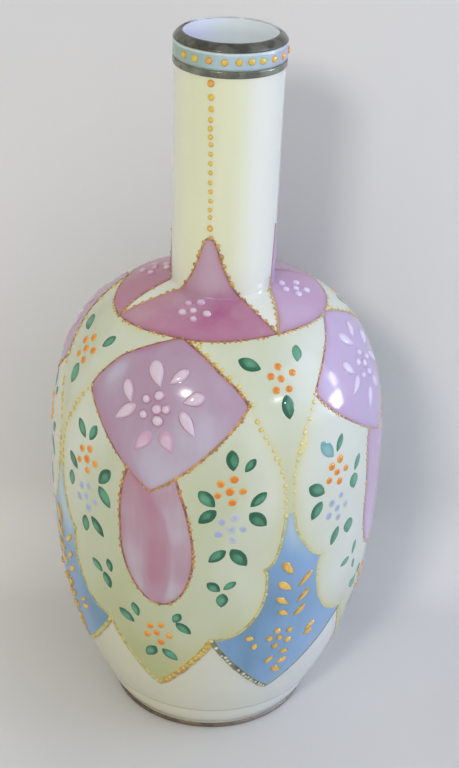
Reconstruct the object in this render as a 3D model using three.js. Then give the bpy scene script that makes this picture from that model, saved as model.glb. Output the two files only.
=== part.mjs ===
// A bud vase of blown opal glass with fired enamel fields and gilt bands.
// Millimetres, +Z up. The vase stands on z = 0 and its axis is the Z axis.
// The ornament repeats every quarter turn; its first motif faces -Y.
import * as THREE from 'three';

// Outside of the glass
const totalHeight = 205;
const bellyRadius = 47.7;
const bellyHeight = 77.3;
const shoulderHeight = 135.9;
const shoulderFullness = 2.92;
const lowerReach = 91.7;
const lowerFullness = 2.09;
const neckRootRadius = 14.1;
const neckTopRadius = 14.5;
const neckBlend = 4.6;

// Foot
const footHeight = 10.3;
const footOuterRadius = 29.1;
const footBandHeight = 2.1;
const footRollBulge = 0.6;
const footGrooveDepth = 0.4;
const footGrooveHeight = 0.8;
const restingWidth = 3.2;
const baseRecess = 2.4;

// Inside of the glass
const bodyWall = 3;
const rimWall = 2.4;
const floorHeight = 6.5;
const floorRound = 6;
const boreEase = 4.5;

// Lip
const lipBevelHeight = 1.5;
const lipBulge = 0.25;
const lipFlat = 0.7;
const mouthEase = 0.3;

// Gilding and the enamel band of the collar
const skinSeat = 0.1;
const skinThickness = 0.25;
const collarBandHeight = 4.5;
const lowerGiltHeight = 1.9;
const footGiltHeight = 1.7;
const footGiltStart = 0.2;
const bandGap = 0.1;

// Enamel fields: how they lie on the glass
const fieldSeat = 0.3;
const fieldThickness = 0.4;
const fieldSeam = 0.5;
const halfSeam = fieldSeam / 2;
const repeats = 4;

// Enamel fields: distances measured down the outside of the glass from the neck root, one below the other
const mantleRise = 18.5;
const mantleShoulderDrop = 0.5;
const mantleDrop = 15.5;
const diamondUpper = 18.5;
const diamondLower = 23.2;
const ovalOverlap = 4.4;
const ovalUpper = 22.4;
const ovalLower = 19.4;
const ovalToTip = 35.6;
const hemDepth = 23;
const blueCuspRise = 25.2;
const blueCuspReach = 1.3;
const bluePointRise = 16.8;
const mantleBend = 3;
const mantleTipRound = 2.5;
const notchRound = 3;

// Enamel fields: half widths, in degrees about the axis
const mantleShoulderHalf = 38.5;
const mantleSpireHalf = 17.5;
const diamondHalf = 31.8;
const ovalHalf = 12.5;
const hemNotchTurn = 19.2;
const blueWaistHalf = 9.5;
const blueCuspSpur = 1.1;
const blueNeckHalf = 8.5;
const stemHalf = 1.6;

// Enamel fields: how full the outlines are (1 is straight, 2 is round)
const diamondUpperCurve = 1.3;
const diamondLowerCurve = 1.15;
const apronHemCurve = 1.2;
const blueHemCurve = 1.2;
const yokeCurve = 1.6;
const bluePointCurve = 2;
const mantleFlare = 3;
const mantleHipCurve = 0.8;

// Enamel fields: where an outline turns, as a share of its height
const stemFlareStart = 0.28;
const apronRoundPeak = 0.8;

// Smoothness
const turnSegments = 36;
const outsideTolerance = fieldSeat * 0.45;
const insideTolerance = 0.7;
const facetDip = fieldSeat * 0.6;
const profileStep = 0.1;
const lineStep = 0.5;
const ovalFootAngle = 7.5;
const ovalLowerSteps = 5;
const ovalUpperSteps = 4;

const degree = Math.PI / 180;
const quarter = 360 / repeats;
const eighth = quarter / 2;
const yokeCornerHalf = eighth - diamondHalf;

// The outside of the glass, without the foot: a superellipse egg that runs into a slightly flared neck.
function glassRadius(z) {
  const below = Math.min((bellyHeight - z) / lowerReach, 1);
  if (z <= bellyHeight) return bellyRadius * (1 - below ** lowerFullness) ** (1 / lowerFullness);
  const above = Math.min((z - bellyHeight) / (shoulderHeight - bellyHeight), 1);
  const egg = bellyRadius * (1 - above ** shoulderFullness) ** (1 / shoulderFullness);
  const rise = Math.max((z - shoulderHeight) / (totalHeight - shoulderHeight), 0);
  const neck = THREE.MathUtils.lerp(neckRootRadius, neckTopRadius, rise);
  return (egg ** neckBlend + neck ** neckBlend) ** (1 / neckBlend);
}

// The same outline as fine stations, each with its distance along the glass from the neck root.
function measureOutline() {
  const stations = [];
  const count = Math.round(totalHeight / profileStep);
  let travelled = 0;
  for (let i = 0; i <= count; i++) {
    const z = (totalHeight * i) / count;
    const r = glassRadius(z);
    const last = stations[i - 1];
    if (last) travelled += Math.hypot(r - last.r, z - last.z);
    stations.push({ z, r, run: travelled });
  }
  const root = stations.findIndex((station) => station.z >= shoulderHeight);
  const rootRun = stations[root].run;
  for (const station of stations) station.run -= rootRun;
  return stations;
}
const outline = measureOutline();

// The station index at or below a run, found by halving.
function stationBelow(run) {
  let low = 0;
  let high = outline.length - 2;
  while (low < high) {
    const middle = Math.ceil((low + high) / 2);
    if (outline[middle].run <= run) low = middle;
    else high = middle - 1;
  }
  return low;
}

// A point off the outside of the glass: run is the way up from the neck root, offset is outwards.
function surfacePoint(run, offset) {
  const index = stationBelow(run);
  const a = outline[index];
  const b = outline[index + 1];
  const t = (run - a.run) / (b.run - a.run);
  const before = outline[Math.max(index - 2, 0)];
  const after = outline[Math.min(index + 3, outline.length - 1)];
  const slope = new THREE.Vector2(after.r - before.r, after.z - before.z).normalize();
  return new THREE.Vector2(
    THREE.MathUtils.lerp(a.r, b.r, t) + slope.y * offset,
    THREE.MathUtils.lerp(a.z, b.z, t) - slope.x * offset,
  );
}

function runAtHeight(z) {
  const place = (z / totalHeight) * (outline.length - 1);
  const index = Math.min(Math.floor(place), outline.length - 2);
  return THREE.MathUtils.lerp(outline[index].run, outline[index + 1].run, place - index);
}

// Keeps the points of a fine line that hold it within the tolerance.
function simplify(points, tolerance) {
  const first = points[0];
  const last = points[points.length - 1];
  const chord = new THREE.Vector2().subVectors(last, first);
  const length = chord.length();
  let worst = 0;
  let split = -1;
  for (let i = 1; i < points.length - 1; i++) {
    const way = new THREE.Vector2().subVectors(points[i], first);
    const distance = Math.abs(way.x * chord.y - way.y * chord.x) / length;
    if (distance > worst) {
      worst = distance;
      split = i;
    }
  }
  if (worst <= tolerance) return [first, last];
  const head = simplify(points.slice(0, split + 1), tolerance);
  return head.slice(0, -1).concat(simplify(points.slice(split), tolerance));
}

// A stretch of the outside, or of a line at a fixed distance from it, from one height to another.
function glassLine(fromHeight, toHeight, offset, tolerance) {
  const from = runAtHeight(fromHeight);
  const to = runAtHeight(toHeight);
  const count = Math.ceil(Math.abs(to - from) / lineStep);
  const points = [];
  for (let i = 0; i <= count; i++) {
    points.push(surfacePoint(THREE.MathUtils.lerp(from, to, i / count), offset));
  }
  return simplify(points, tolerance);
}

// A shallow bow from one profile point to another, which bulges to the right of its way.
function bow(from, to, bulge, steps) {
  const side = new THREE.Vector2(to.y - from.y, from.x - to.x).normalize();
  const points = [];
  for (let i = 0; i <= steps; i++) {
    const t = i / steps;
    points.push(new THREE.Vector2().lerpVectors(from, to, t).addScaledVector(side, bulge * 4 * t * (1 - t)));
  }
  return points;
}

// A quarter of an ellipse, from its widest point to the axis.
function quarterEllipse(height, across, up, steps) {
  const points = [];
  for (let i = 0; i <= steps; i++) {
    const angle = (Math.PI / 2) * (i / steps);
    const x = i === steps ? 0 : across * Math.cos(angle);
    points.push(new THREE.Vector2(x, height + up * Math.sin(angle)));
  }
  return points;
}

// Turns a closed profile of radius and height about the Z axis.
function revolve(profile) {
  const geometry = new THREE.LatheGeometry(profile, turnSegments);
  geometry.rotateX(Math.PI / 2);
  return geometry;
}

// Heights on the neck that the glass, the gilding and the enamel band share
const lipStart = totalHeight - skinSeat - skinThickness - lipBevelHeight;
const glassTop = totalHeight - skinSeat - skinThickness;
const collarTop = lipStart - bandGap;
const collarBottom = collarTop - collarBandHeight;
const lowerGiltTop = collarBottom - bandGap;
const lowerGiltBottom = lowerGiltTop - lowerGiltHeight;
const mouthRadius = neckTopRadius - rimWall;

// The foot stands on a short upright band, and its roll runs from there up to the groove under the body.
const footEdge = new THREE.Vector2(footOuterRadius, 0);
const rollFoot = new THREE.Vector2(footOuterRadius, footBandHeight);
const grooveBottom = footHeight - footGrooveHeight / 2;
const rollTop = new THREE.Vector2(glassRadius(grooveBottom) - footGrooveDepth, grooveBottom);

// The lip from the top of the collar band to its flat, at a distance off the glass.
function lipLine(offset) {
  const from = new THREE.Vector2(glassRadius(lipStart) + offset, lipStart);
  const to = new THREE.Vector2(mouthRadius + lipFlat, glassTop + offset);
  return bow(from, to, lipBulge, 3);
}

// The blown glass: foot, body, neck and lip outside, bore and cavity inside, open at the mouth.
function glassBody() {
  const recess = quarterEllipse(0, footOuterRadius - restingWidth, baseRecess, 3).reverse();
  const foot = [footEdge, ...bow(rollFoot, rollTop, footRollBulge, 4)];
  const outside = glassLine(footHeight, lipStart, 0, outsideTolerance);
  const mouthOuter = new THREE.Vector2(mouthRadius + mouthEase, glassTop);
  const mouthInner = new THREE.Vector2(mouthRadius, glassTop - mouthEase);
  const boreFoot = surfacePoint(boreEase, -rimWall);
  const lowestWall = floorHeight + floorRound;
  const cavity = glassLine(shoulderHeight, lowestWall, -bodyWall, insideTolerance);
  const wallFoot = cavity[cavity.length - 1];
  const floor = quarterEllipse(wallFoot.y, wallFoot.x, floorHeight - wallFoot.y, 4).slice(1);
  const lip = [...lipLine(0).slice(1), mouthOuter, mouthInner];
  return revolve([...recess, ...foot, ...outside, ...lip, boreFoot, ...cavity, ...floor]);
}

// A skin on the outside of the neck or foot between two profile lines that run the same way.
function skin(inner, outer) {
  const ring = [...outer, ...inner.slice().reverse()];
  return revolve([...ring, ring[0].clone()]);
}

// A skin whose two faces come from one line, drawn at the seat and at the seat plus the thickness.
function skinAlong(line) {
  return skin(line(skinSeat), line(skinSeat + skinThickness));
}

function neckBand(bottom, top) {
  return skinAlong((offset) => [bottom, top].map((z) => new THREE.Vector2(glassRadius(z) + offset, z)));
}

// The gilding that covers the lip from the collar band to the edge of the mouth.
function rimGilding() {
  const mouthEdge = (offset) => new THREE.Vector2(mouthRadius + mouthEase, glassTop + offset);
  return skinAlong((offset) => [...lipLine(offset), mouthEdge(offset)]);
}

// The gilt line round the foot's upright band, clear of the surface that the vase stands on.
function footGilding() {
  const levels = [footGiltStart, footGiltStart + footGiltHeight];
  return skinAlong((offset) => levels.map((z) => new THREE.Vector2(footOuterRadius + offset, z)));
}

// Runs of the ornament, worked down from the neck root
const mantleTop = mantleRise;
const hem = -mantleDrop;
const diamondCorner = hem - diamondUpper;
const diamondBottom = diamondCorner - diamondLower;
const ovalTop = diamondBottom + ovalOverlap;
const ovalMiddle = ovalTop - ovalUpper;
const ovalBottom = ovalMiddle - ovalLower;
const hemTip = ovalBottom - ovalToTip;
const hemNotch = hemTip + hemDepth;
const blueCusp = hemNotch + blueCuspRise;
const bluePoint = blueCusp + bluePointRise;

// Half the breadth, in degrees, of a rounded point that is full at its base and closes at its tip.
function roundedPoint(half, way, curve) {
  return half * (1 - THREE.MathUtils.clamp(way, 0, 1) ** curve) ** (1 / curve);
}

function diamondHalfAt(run) {
  const rise = run - diamondCorner;
  if (rise >= 0) return roundedPoint(diamondHalf, rise / diamondUpper, diamondUpperCurve);
  return roundedPoint(diamondHalf, -rise / diamondLower, diamondLowerCurve);
}

// The mantle flares from its blunt spire on the neck to its shoulder and then steps out to the next lobe.
function mantleHalfAt(run) {
  const shoulder = -mantleShoulderDrop;
  if (run > shoulder) {
    const fall = (mantleTop - run) / (mantleTop - shoulder);
    const flare = (mantleShoulderHalf - mantleSpireHalf) * fall ** mantleFlare;
    return mantleSpireHalf * Math.sqrt(fall) + flare;
  }
  const way = (shoulder - run) / (shoulder - hem);
  return THREE.MathUtils.lerp(mantleShoulderHalf, eighth, way ** mantleHipCurve);
}

// The cream stem between two aprons widens upwards to the corners of the diamonds.
function stemHalfAt(run) {
  const foot = bluePoint + (diamondCorner - bluePoint) * stemFlareStart;
  const way = THREE.MathUtils.clamp((run - foot) / (diamondCorner - foot), 0, 1);
  return stemHalf + (yokeCornerHalf - stemHalf) * way ** yokeCurve;
}

function yokeHalfAt(run) {
  return run >= diamondCorner ? eighth - diamondHalfAt(run) : stemHalfAt(run);
}

// The blue field: a hem that closes in a tip, sides cut by two round aprons, two cusps and a drawn point.
function blueHalfAt(run) {
  const hemHalf = eighth - hemNotchTurn;
  if (run <= hemNotch) return roundedPoint(hemHalf, (hemNotch - run) / hemDepth, blueHemCurve);
  const spur = blueCuspSpur * Math.max(1 - Math.abs(run - blueCusp) / blueCuspReach, 0);
  if (run < blueCusp) {
    const middle = hemNotch + blueCuspRise * apronRoundPeak;
    const reach = (run - middle) / (middle - hemNotch);
    return spur + hemHalf - (hemHalf - blueWaistHalf) * Math.sqrt(Math.max(1 - reach * reach, 0));
  }
  const way = Math.min((run - blueCusp) / bluePointRise, 1);
  return spur + stemHalf + (blueNeckHalf - stemHalf) * (1 - way) ** bluePointCurve;
}

// The outer edge of an apron, from the diamond's corner down past the blue field to its own tip.
function apronHalfAt(run) {
  if (run >= bluePoint) return eighth - stemHalfAt(run);
  if (run >= hemNotch) return eighth - blueHalfAt(run);
  return roundedPoint(hemNotchTurn, (hemNotch - run) / hemDepth, apronHemCurve);
}

// The oval's edge as shared points, from its foot up to the diamond's side, on the right of its middle line.
function ovalEdge() {
  const edge = [];
  for (let k = 0; k <= ovalLowerSteps; k++) {
    const angle = THREE.MathUtils.lerp(ovalFootAngle, 90, k / ovalLowerSteps) * degree;
    edge.push({ run: ovalMiddle - ovalLower * Math.cos(angle), turn: ovalHalf * Math.sin(angle) });
  }
  const topHalf = diamondHalfAt(ovalTop);
  const reach = ovalUpper / Math.sqrt(1 - (topHalf / ovalHalf) ** 2);
  for (let k = 1; k <= ovalUpperSteps; k++) {
    const rise = (ovalUpper * k) / ovalUpperSteps;
    edge.push({ run: ovalMiddle + rise, turn: ovalHalf * Math.sqrt(1 - (rise / reach) ** 2) });
  }
  return edge;
}

// A thin closed shell over a grid of places on the glass. Rows run up the vase and columns to its right.
function enamelShell(grid) {
  const rows = grid.length;
  const columns = grid[0].length;
  const positions = [];
  for (const offset of [fieldSeat, fieldSeat + fieldThickness]) {
    for (const row of grid) {
      for (const place of row) {
        const point = surfacePoint(place.run, offset);
        const angle = place.turn * degree;
        positions.push(point.x * Math.sin(angle), -point.x * Math.cos(angle), point.y);
      }
    }
  }
  const under = (i, j) => i * columns + j;
  const over = (i, j) => rows * columns + under(i, j);
  const index = [];
  const quad = (a, b, c, d) => index.push(a, b, c, a, c, d);
  for (let i = 0; i < rows - 1; i++) {
    for (let j = 0; j < columns - 1; j++) {
      quad(over(i, j), over(i, j + 1), over(i + 1, j + 1), over(i + 1, j));
      quad(under(i, j), under(i + 1, j), under(i + 1, j + 1), under(i, j + 1));
    }
    quad(under(i, 0), over(i, 0), over(i + 1, 0), under(i + 1, 0));
    quad(under(i, columns - 1), under(i + 1, columns - 1), over(i + 1, columns - 1), over(i, columns - 1));
  }
  for (let j = 0; j < columns - 1; j++) {
    quad(under(0, j), under(0, j + 1), over(0, j + 1), over(0, j));
    quad(under(rows - 1, j), over(rows - 1, j), over(rows - 1, j + 1), under(rows - 1, j + 1));
  }
  const geometry = new THREE.BufferGeometry();
  geometry.setAttribute('position', new THREE.Float32BufferAttribute(positions, 3));
  geometry.setIndex(index);
  geometry.computeVertexNormals();
  return geometry;
}

// Degrees that a length covers on the glass at a run.
function degreesFor(length, run) {
  return length / surfacePoint(run, 0).x / degree;
}

// Columns that keep the flat facets of a field clear of the round glass.
function columnsFor(span, run) {
  const radius = surfacePoint(run, 0).x;
  const step = (2 * Math.acos(1 - facetDip / radius)) / degree;
  return Math.ceil(span / step);
}

// A field that is one span wide at every run, drawn in by half a seam along its edges.
function spanField(runs, halfAt, columns) {
  const grid = runs.map((run) => {
    const seam = degreesFor(halfSeam, run);
    const reach = Math.max(halfAt(run) - seam, seam);
    const row = [];
    for (let j = 0; j <= columns; j++) row.push({ run, turn: reach * ((2 * j) / columns - 1) });
    return row;
  });
  return enamelShell(grid);
}

// Runs from one level to another through every level between, with even steps in each stretch.
function runsThrough(levels, steps) {
  const runs = [levels[0]];
  for (let i = 1; i < levels.length; i++) {
    const count = steps[i - 1];
    for (let k = 1; k <= count; k++) runs.push(THREE.MathUtils.lerp(levels[i - 1], levels[i], k / count));
  }
  return runs;
}

function mantleLobe() {
  const shoulder = -mantleShoulderDrop;
  const bend = [shoulder - mantleBend, shoulder + mantleBend];
  const levels = [hem + halfSeam, ...bend, mantleTop - mantleTipRound, mantleTop];
  const runs = runsThrough(levels, [3, 3, 3, 1]);
  return spanField(runs, mantleHalfAt, columnsFor(quarter, hem));
}

function diamondField() {
  const runs = runsThrough([diamondBottom + halfSeam, diamondCorner, hem - halfSeam], [5, 6]);
  return spanField(runs, diamondHalfAt, columnsFor(2 * diamondHalf, diamondCorner));
}

function blueField() {
  const cusp = [blueCusp - blueCuspReach, blueCusp, blueCusp + blueCuspReach];
  const levels = [hemTip + halfSeam, hemNotch, hemNotch + notchRound, ...cusp, bluePoint - halfSeam];
  const runs = runsThrough(levels, [5, 1, 3, 1, 1, 3]);
  return spanField(runs, blueHalfAt, columnsFor(quarter - 2 * hemNotchTurn, hemNotch));
}

function yokeField() {
  const runs = runsThrough([bluePoint + halfSeam, diamondCorner, hem - halfSeam], [4, 6]);
  return spanField(runs, yokeHalfAt, columnsFor(quarter, hem));
}

// The oval hangs under the diamond, so its top follows the diamond's two lower sides.
function ovalField() {
  const columns = columnsFor(2 * ovalHalf, ovalMiddle) + 1;
  const edge = ovalEdge();
  const low = edge[0].run;
  const high = ovalTop;
  const grid = edge.map((place) => {
    const dip = (ovalOverlap + halfSeam) * ((place.run - low) / (high - low)) ** 2;
    const reach = place.turn - degreesFor(halfSeam, place.run);
    const row = [];
    for (let j = 0; j <= columns; j++) {
      const side = (2 * j) / columns - 1;
      row.push({ run: place.run - halfSeam - dip * (1 - Math.abs(side)), turn: side * reach });
    }
    return row;
  });
  return enamelShell(grid);
}

// The apron is a ribbon. Its inner line rounds the diamond and the oval, its outer line is the border and
// the hem.
function apronField() {
  const across = columnsFor(apronHalfAt(blueCusp) - ovalHalf, ovalMiddle) + 2;
  const corner = diamondCorner - fieldSeam;
  const alongDiamond = runsThrough([corner, ovalTop], [5]);
  const inner = alongDiamond.map((run) => ({ run, turn: diamondHalfAt(run) + degreesFor(fieldSeam, run) }));
  for (const place of ovalEdge().reverse()) {
    inner.push({ run: place.run - halfSeam, turn: place.turn + degreesFor(halfSeam, place.run) });
  }
  const cusp = [blueCusp + blueCuspReach, blueCusp, blueCusp - blueCuspReach];
  const borderLevels = [corner, bluePoint, ...cusp, hemNotch + notchRound, hemNotch, hemTip + halfSeam];
  const alongBorder = runsThrough(borderLevels, [5, 1, 1, 1, 3, 1, 3]);
  const borderTurn = (run) => Math.max(apronHalfAt(run) - degreesFor(halfSeam, run), 0);
  const outer = alongBorder.map((run) => ({ run, turn: borderTurn(run) }));
  const rib = (from, to, side) => {
    const row = [];
    for (let j = 0; j <= across; j++) {
      const t = j / across;
      const turn = side * THREE.MathUtils.lerp(from.turn, to.turn, t);
      row.push({ turn, run: THREE.MathUtils.lerp(from.run, to.run, t) });
    }
    return row;
  };
  const left = inner.map((place, k) => rib(place, outer[k], -1));
  const right = inner.map((place, k) => rib(place, outer[k], 1));
  const middle = rib({ turn: 0, run: ovalBottom - fieldSeam }, { turn: 0, run: hemTip }, 1);
  return enamelShell([...left, middle, ...right.reverse()]);
}

// Materials, one for each stuff
function stuff(color, roughness, metalness) {
  return new THREE.MeshStandardMaterial({ color, roughness, metalness });
}
const opalGlass = () => stuff(0xe4ebe8, 0.12, 0);
const darkGilding = () => stuff(0x4b463e, 0.35, 0.8);
const blueEnamel = () => stuff(0x7da0cd, 0.25, 0);
const bandEnamel = () => stuff(0x9fc0cc, 0.25, 0);
const mauveEnamel = () => stuff(0xb6809b, 0.22, 0);
const lilacEnamel = () => stuff(0xb49bb2, 0.22, 0);
const roseEnamel = () => stuff(0xb47891, 0.22, 0);
const creamEnamel = () => stuff(0xd4d8b2, 0.25, 0);

const vase = new THREE.Group();

function addPiece(name, geometry, material, turn = 0) {
  const piece = new THREE.Mesh(geometry, material);
  piece.name = name;
  piece.rotation.z = turn * degree;
  vase.add(piece);
}

addPiece('glass_body', glassBody(), opalGlass());
addPiece('rim_gilding', rimGilding(), darkGilding());
addPiece('collar_enamel', neckBand(collarBottom, collarTop), bandEnamel());
addPiece('collar_lower_gilding', neckBand(lowerGiltBottom, lowerGiltTop), darkGilding());
addPiece('foot_gilding', footGilding(), darkGilding());

// The fields of each quarter: those of the motif itself, and those half way to the next one.
const fields = [
  { name: 'mantle_lobe', geometry: mantleLobe(), material: mauveEnamel, start: 0 },
  { name: 'diamond_field', geometry: diamondField(), material: lilacEnamel, start: 0 },
  { name: 'oval_field', geometry: ovalField(), material: roseEnamel, start: 0 },
  { name: 'apron_field', geometry: apronField(), material: creamEnamel, start: 0 },
  { name: 'yoke_field', geometry: yokeField(), material: creamEnamel, start: eighth },
  { name: 'blue_field', geometry: blueField(), material: blueEnamel, start: eighth },
];
for (const field of fields) {
  for (let k = 0; k < repeats; k++) {
    addPiece(`${field.name}_${k + 1}`, field.geometry, field.material(), field.start + k * quarter);
  }
}

export default vase;
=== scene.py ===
"""The looks of an opal glass bud vase with enamel fields, gilt lines and raised jewels.

Everything lies on the outside of the glass, so a place is a turn about the axis in degrees, a run in
millimetres up the glass from the root of the neck, and an offset off the glass.
"""
import math
import random

import bpy
import numpy as np
from mathutils import Matrix, Vector


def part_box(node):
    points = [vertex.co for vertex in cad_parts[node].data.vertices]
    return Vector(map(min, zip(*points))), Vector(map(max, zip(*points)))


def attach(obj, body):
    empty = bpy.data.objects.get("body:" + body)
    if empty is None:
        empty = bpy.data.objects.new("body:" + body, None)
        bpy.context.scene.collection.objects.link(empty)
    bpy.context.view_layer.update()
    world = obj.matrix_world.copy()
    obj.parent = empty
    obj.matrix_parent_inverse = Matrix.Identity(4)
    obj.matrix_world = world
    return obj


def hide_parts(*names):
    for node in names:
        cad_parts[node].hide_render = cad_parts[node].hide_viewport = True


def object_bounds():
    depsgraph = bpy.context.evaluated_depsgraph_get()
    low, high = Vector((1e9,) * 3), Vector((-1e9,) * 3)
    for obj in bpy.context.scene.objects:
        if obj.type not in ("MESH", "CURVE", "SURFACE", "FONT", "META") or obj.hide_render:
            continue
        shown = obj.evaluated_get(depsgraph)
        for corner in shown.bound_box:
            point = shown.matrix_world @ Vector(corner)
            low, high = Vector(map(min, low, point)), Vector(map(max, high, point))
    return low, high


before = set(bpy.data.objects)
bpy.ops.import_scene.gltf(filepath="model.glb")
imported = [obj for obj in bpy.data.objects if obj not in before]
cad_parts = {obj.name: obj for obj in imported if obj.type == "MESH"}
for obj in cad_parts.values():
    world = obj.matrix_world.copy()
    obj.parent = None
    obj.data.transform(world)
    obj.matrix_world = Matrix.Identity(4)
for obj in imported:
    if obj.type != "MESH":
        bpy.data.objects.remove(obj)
cad_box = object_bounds()

MM = 0.001

# Outside of the glass, in millimetres, as the solids have it
TOTAL_HEIGHT = cad_box[1].z / MM
BELLY_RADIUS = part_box("glass_body")[1].x / MM
BELLY_HEIGHT = 77.3
SHOULDER_HEIGHT = 135.9
SHOULDER_FULLNESS = 2.92
LOWER_REACH = 91.7
LOWER_FULLNESS = 2.09
NECK_ROOT_RADIUS = 14.1
NECK_TOP_RADIUS = 14.5
NECK_BLEND = 4.6

# Foot, inside and lip of the glass
FOOT_HEIGHT = 10.3
FOOT_OUTER_RADIUS = 29.1
FOOT_BAND_HEIGHT = 2.1
FOOT_ROLL_BULGE = 0.6
FOOT_GROOVE_DEPTH = 0.4
FOOT_GROOVE_HEIGHT = 0.8
RESTING_WIDTH = 3.2
BASE_RECESS = 2.4
BODY_WALL = 3.0
RIM_WALL = 2.4
FLOOR_HEIGHT = 6.5
FLOOR_ROUND = 6.0
BORE_EASE = 4.5
LIP_BEVEL_HEIGHT = 1.5
LIP_BULGE = 0.25
LIP_FLAT = 0.7
MOUTH_EASE = 0.3
SKIN = 0.35
SKIN_BURY = 0.05

# Levels of the ornament, as runs from the root of the neck
MANTLE_TOP = 18.5
MANTLE_SHOULDER = -0.5
HEM = -15.5
DIAMOND_CORNER = HEM - 18.5
DIAMOND_BOTTOM = DIAMOND_CORNER - 23.2
OVAL_OVERLAP = 4.4
OVAL_TOP = DIAMOND_BOTTOM + OVAL_OVERLAP
OVAL_MIDDLE = OVAL_TOP - 22.4
OVAL_BOTTOM = OVAL_MIDDLE - 19.4
HEM_TIP = OVAL_BOTTOM - 35.6
HEM_NOTCH = HEM_TIP + 23
BLUE_CUSP = HEM_NOTCH + 25.2
BLUE_POINT = BLUE_CUSP + 16.8

# Half widths of the ornament, in degrees
QUARTER = 90.0
EIGHTH = 45.0
DIAMOND_HALF = 31.8
OVAL_HALF = 12.5
HEM_NOTCH_TURN = 19.2
BLUE_WAIST_HALF = 9.5
BLUE_CUSP_SPUR = 1.1
BLUE_CUSP_REACH = 1.3
BLUE_NECK_HALF = 8.5
STEM_HALF = 1.6
YOKE_CORNER_HALF = EIGHTH - DIAMOND_HALF

# How the ornament lies on the glass
FIELD_HEIGHT = 0.28
FIELD_BURY = 0.12
FIELD_EASE = 0.8
WASH_HEIGHT = 0.12


# The outside of the glass and places on it
def part_way(value, start, end):
    """How far a value has come from start to end, from 0 to 1."""
    return np.clip((value - start) / (end - start), 0, 1)


def glass_radius(z):
    """Radius of the outside at a height, without the foot: a superellipse egg that runs into the neck."""
    below = np.clip((BELLY_HEIGHT - z) / LOWER_REACH, 0, 1)
    lower = BELLY_RADIUS * (1 - below**LOWER_FULLNESS) ** (1 / LOWER_FULLNESS)
    above = part_way(z, BELLY_HEIGHT, SHOULDER_HEIGHT)
    egg = BELLY_RADIUS * (1 - above**SHOULDER_FULLNESS) ** (1 / SHOULDER_FULLNESS)
    rise = part_way(z, SHOULDER_HEIGHT, TOTAL_HEIGHT)
    neck = NECK_ROOT_RADIUS + (NECK_TOP_RADIUS - NECK_ROOT_RADIUS) * rise
    upper = (egg**NECK_BLEND + neck**NECK_BLEND) ** (1 / NECK_BLEND)
    return np.where(z <= BELLY_HEIGHT, lower, upper)


STATION_Z = np.linspace(0, TOTAL_HEIGHT, 1601)
STATION_R = glass_radius(STATION_Z)
STATION_RUN = np.concatenate([[0], np.cumsum(np.hypot(np.diff(STATION_R), np.diff(STATION_Z)))])
STATION_RUN -= np.interp(SHOULDER_HEIGHT, STATION_Z, STATION_RUN)
SLOPE_R = np.gradient(STATION_R, STATION_RUN)
SLOPE_Z = np.gradient(STATION_Z, STATION_RUN)


def profile_at(run, offset):
    """Radius and height, in millimetres, of places off the glass."""
    radius = np.interp(run, STATION_RUN, STATION_R) + np.interp(run, STATION_RUN, SLOPE_Z) * offset
    height = np.interp(run, STATION_RUN, STATION_Z) - np.interp(run, STATION_RUN, SLOPE_R) * offset
    return radius, height


def about_axis(radius, height, turn):
    """Points in metres, from a radius and a height in millimetres and a turn in degrees."""
    angle = np.radians(turn)
    return np.stack([radius * np.sin(angle), -radius * np.cos(angle), height + 0 * angle], axis=-1) * MM


def off_glass(turn, run, offset):
    """Points in metres at places off the glass."""
    return about_axis(*profile_at(run, offset), turn)


def degrees_for(length, run):
    return np.degrees(length / np.interp(run, STATION_RUN, STATION_R))


def run_at(height):
    return float(np.interp(height, STATION_Z, STATION_RUN))


# The hand that drew the ornament: how far it strayed from the true place, in degrees to the right and in
# millimetres upwards. A row is a level of the ornament, a column one eighth of a turn from the next.
DRIFT_RUNS = [HEM_TIP, HEM_NOTCH, OVAL_BOTTOM, BLUE_CUSP, -72, DIAMOND_BOTTOM, -42, DIAMOND_CORNER, -25,
              HEM, -6, 6, MANTLE_TOP, 60]
DRIFT_TURNS = [
    [-2.1, -0.6, 0.5, 1.5, -0.5, 1, -0.5, 0.6],
    [-0.5, 2.1, 3.8, 1.5, -1, 0.5, 0.5, -0.4],
    [1.2, 2.1, 3.6, 1.2, -1.2, 0.3, 0.8, -0.5],
    [0.2, 1.9, 3.6, 1, -1.5, 0, 1, -0.6],
    [-0.6, -0.6, 4.6, 0.5, -1.5, -0.5, 1, -0.5],
    [-2.5, -1.3, 1.4, 0, -1, -1, 0.5, -0.5],
    [-2.9, -2.3, 0.8, 0, -0.5, -1, 0.5, -0.8],
    [-3.2, -1.5, 0.5, 0.5, 0, -0.5, 0.5, -1.2],
    [-5, 0, 0.8, 0.7, 0.7, 0, 0.6, -2],
    [-0.9, 5.6, 1, 1, 1.5, 0.5, 0.8, 0.5],
    [3.4, 3.5, 2, 1.5, 1.5, 1.5, 0.5, 2],
    [5.2, 4, 2.5, 1.5, 1.5, 1.5, 0, 2.5],
    [3.9, 3, 2, 1, 1, 1, 0, 2],
    [0.6, 1, 0, 0, 0, 0, 0, 1],
]
DRIFT_RISES = [
    [0, -1.3, 1, 0, 0.5, -0.5, 0, 1.2],
    [0, 0, 0, 0, 0.5, 0, 0, -0.4],
    [-0.6, 0, 1.5, 0.5, 0, 0, 0.5, 0],
    [0, 0, 1.5, 0.5, 0, 0, 0.5, 0],
    [0, 0, 2.5, 0.5, 0, 0.5, 0.5, 0],
    [-1.6, 0, 2.4, 0, -0.5, 0, 0.5, 0],
    [-0.8, 0, 1.4, 0, 0, 0, 0, -2],
    [-0.5, 0.3, 0, 0, 0.5, 0, -0.5, -3.6],
    [0, 0.3, 0, 0, 0.2, 0, -0.3, -2],
    [-0.8, 0.4, -0.5, 0, 0, 0.5, 1, -2],
    [0] * 8,
    [0] * 8,
    [-1.1] + [0] * 7,
    [0] * 8,
]


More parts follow.
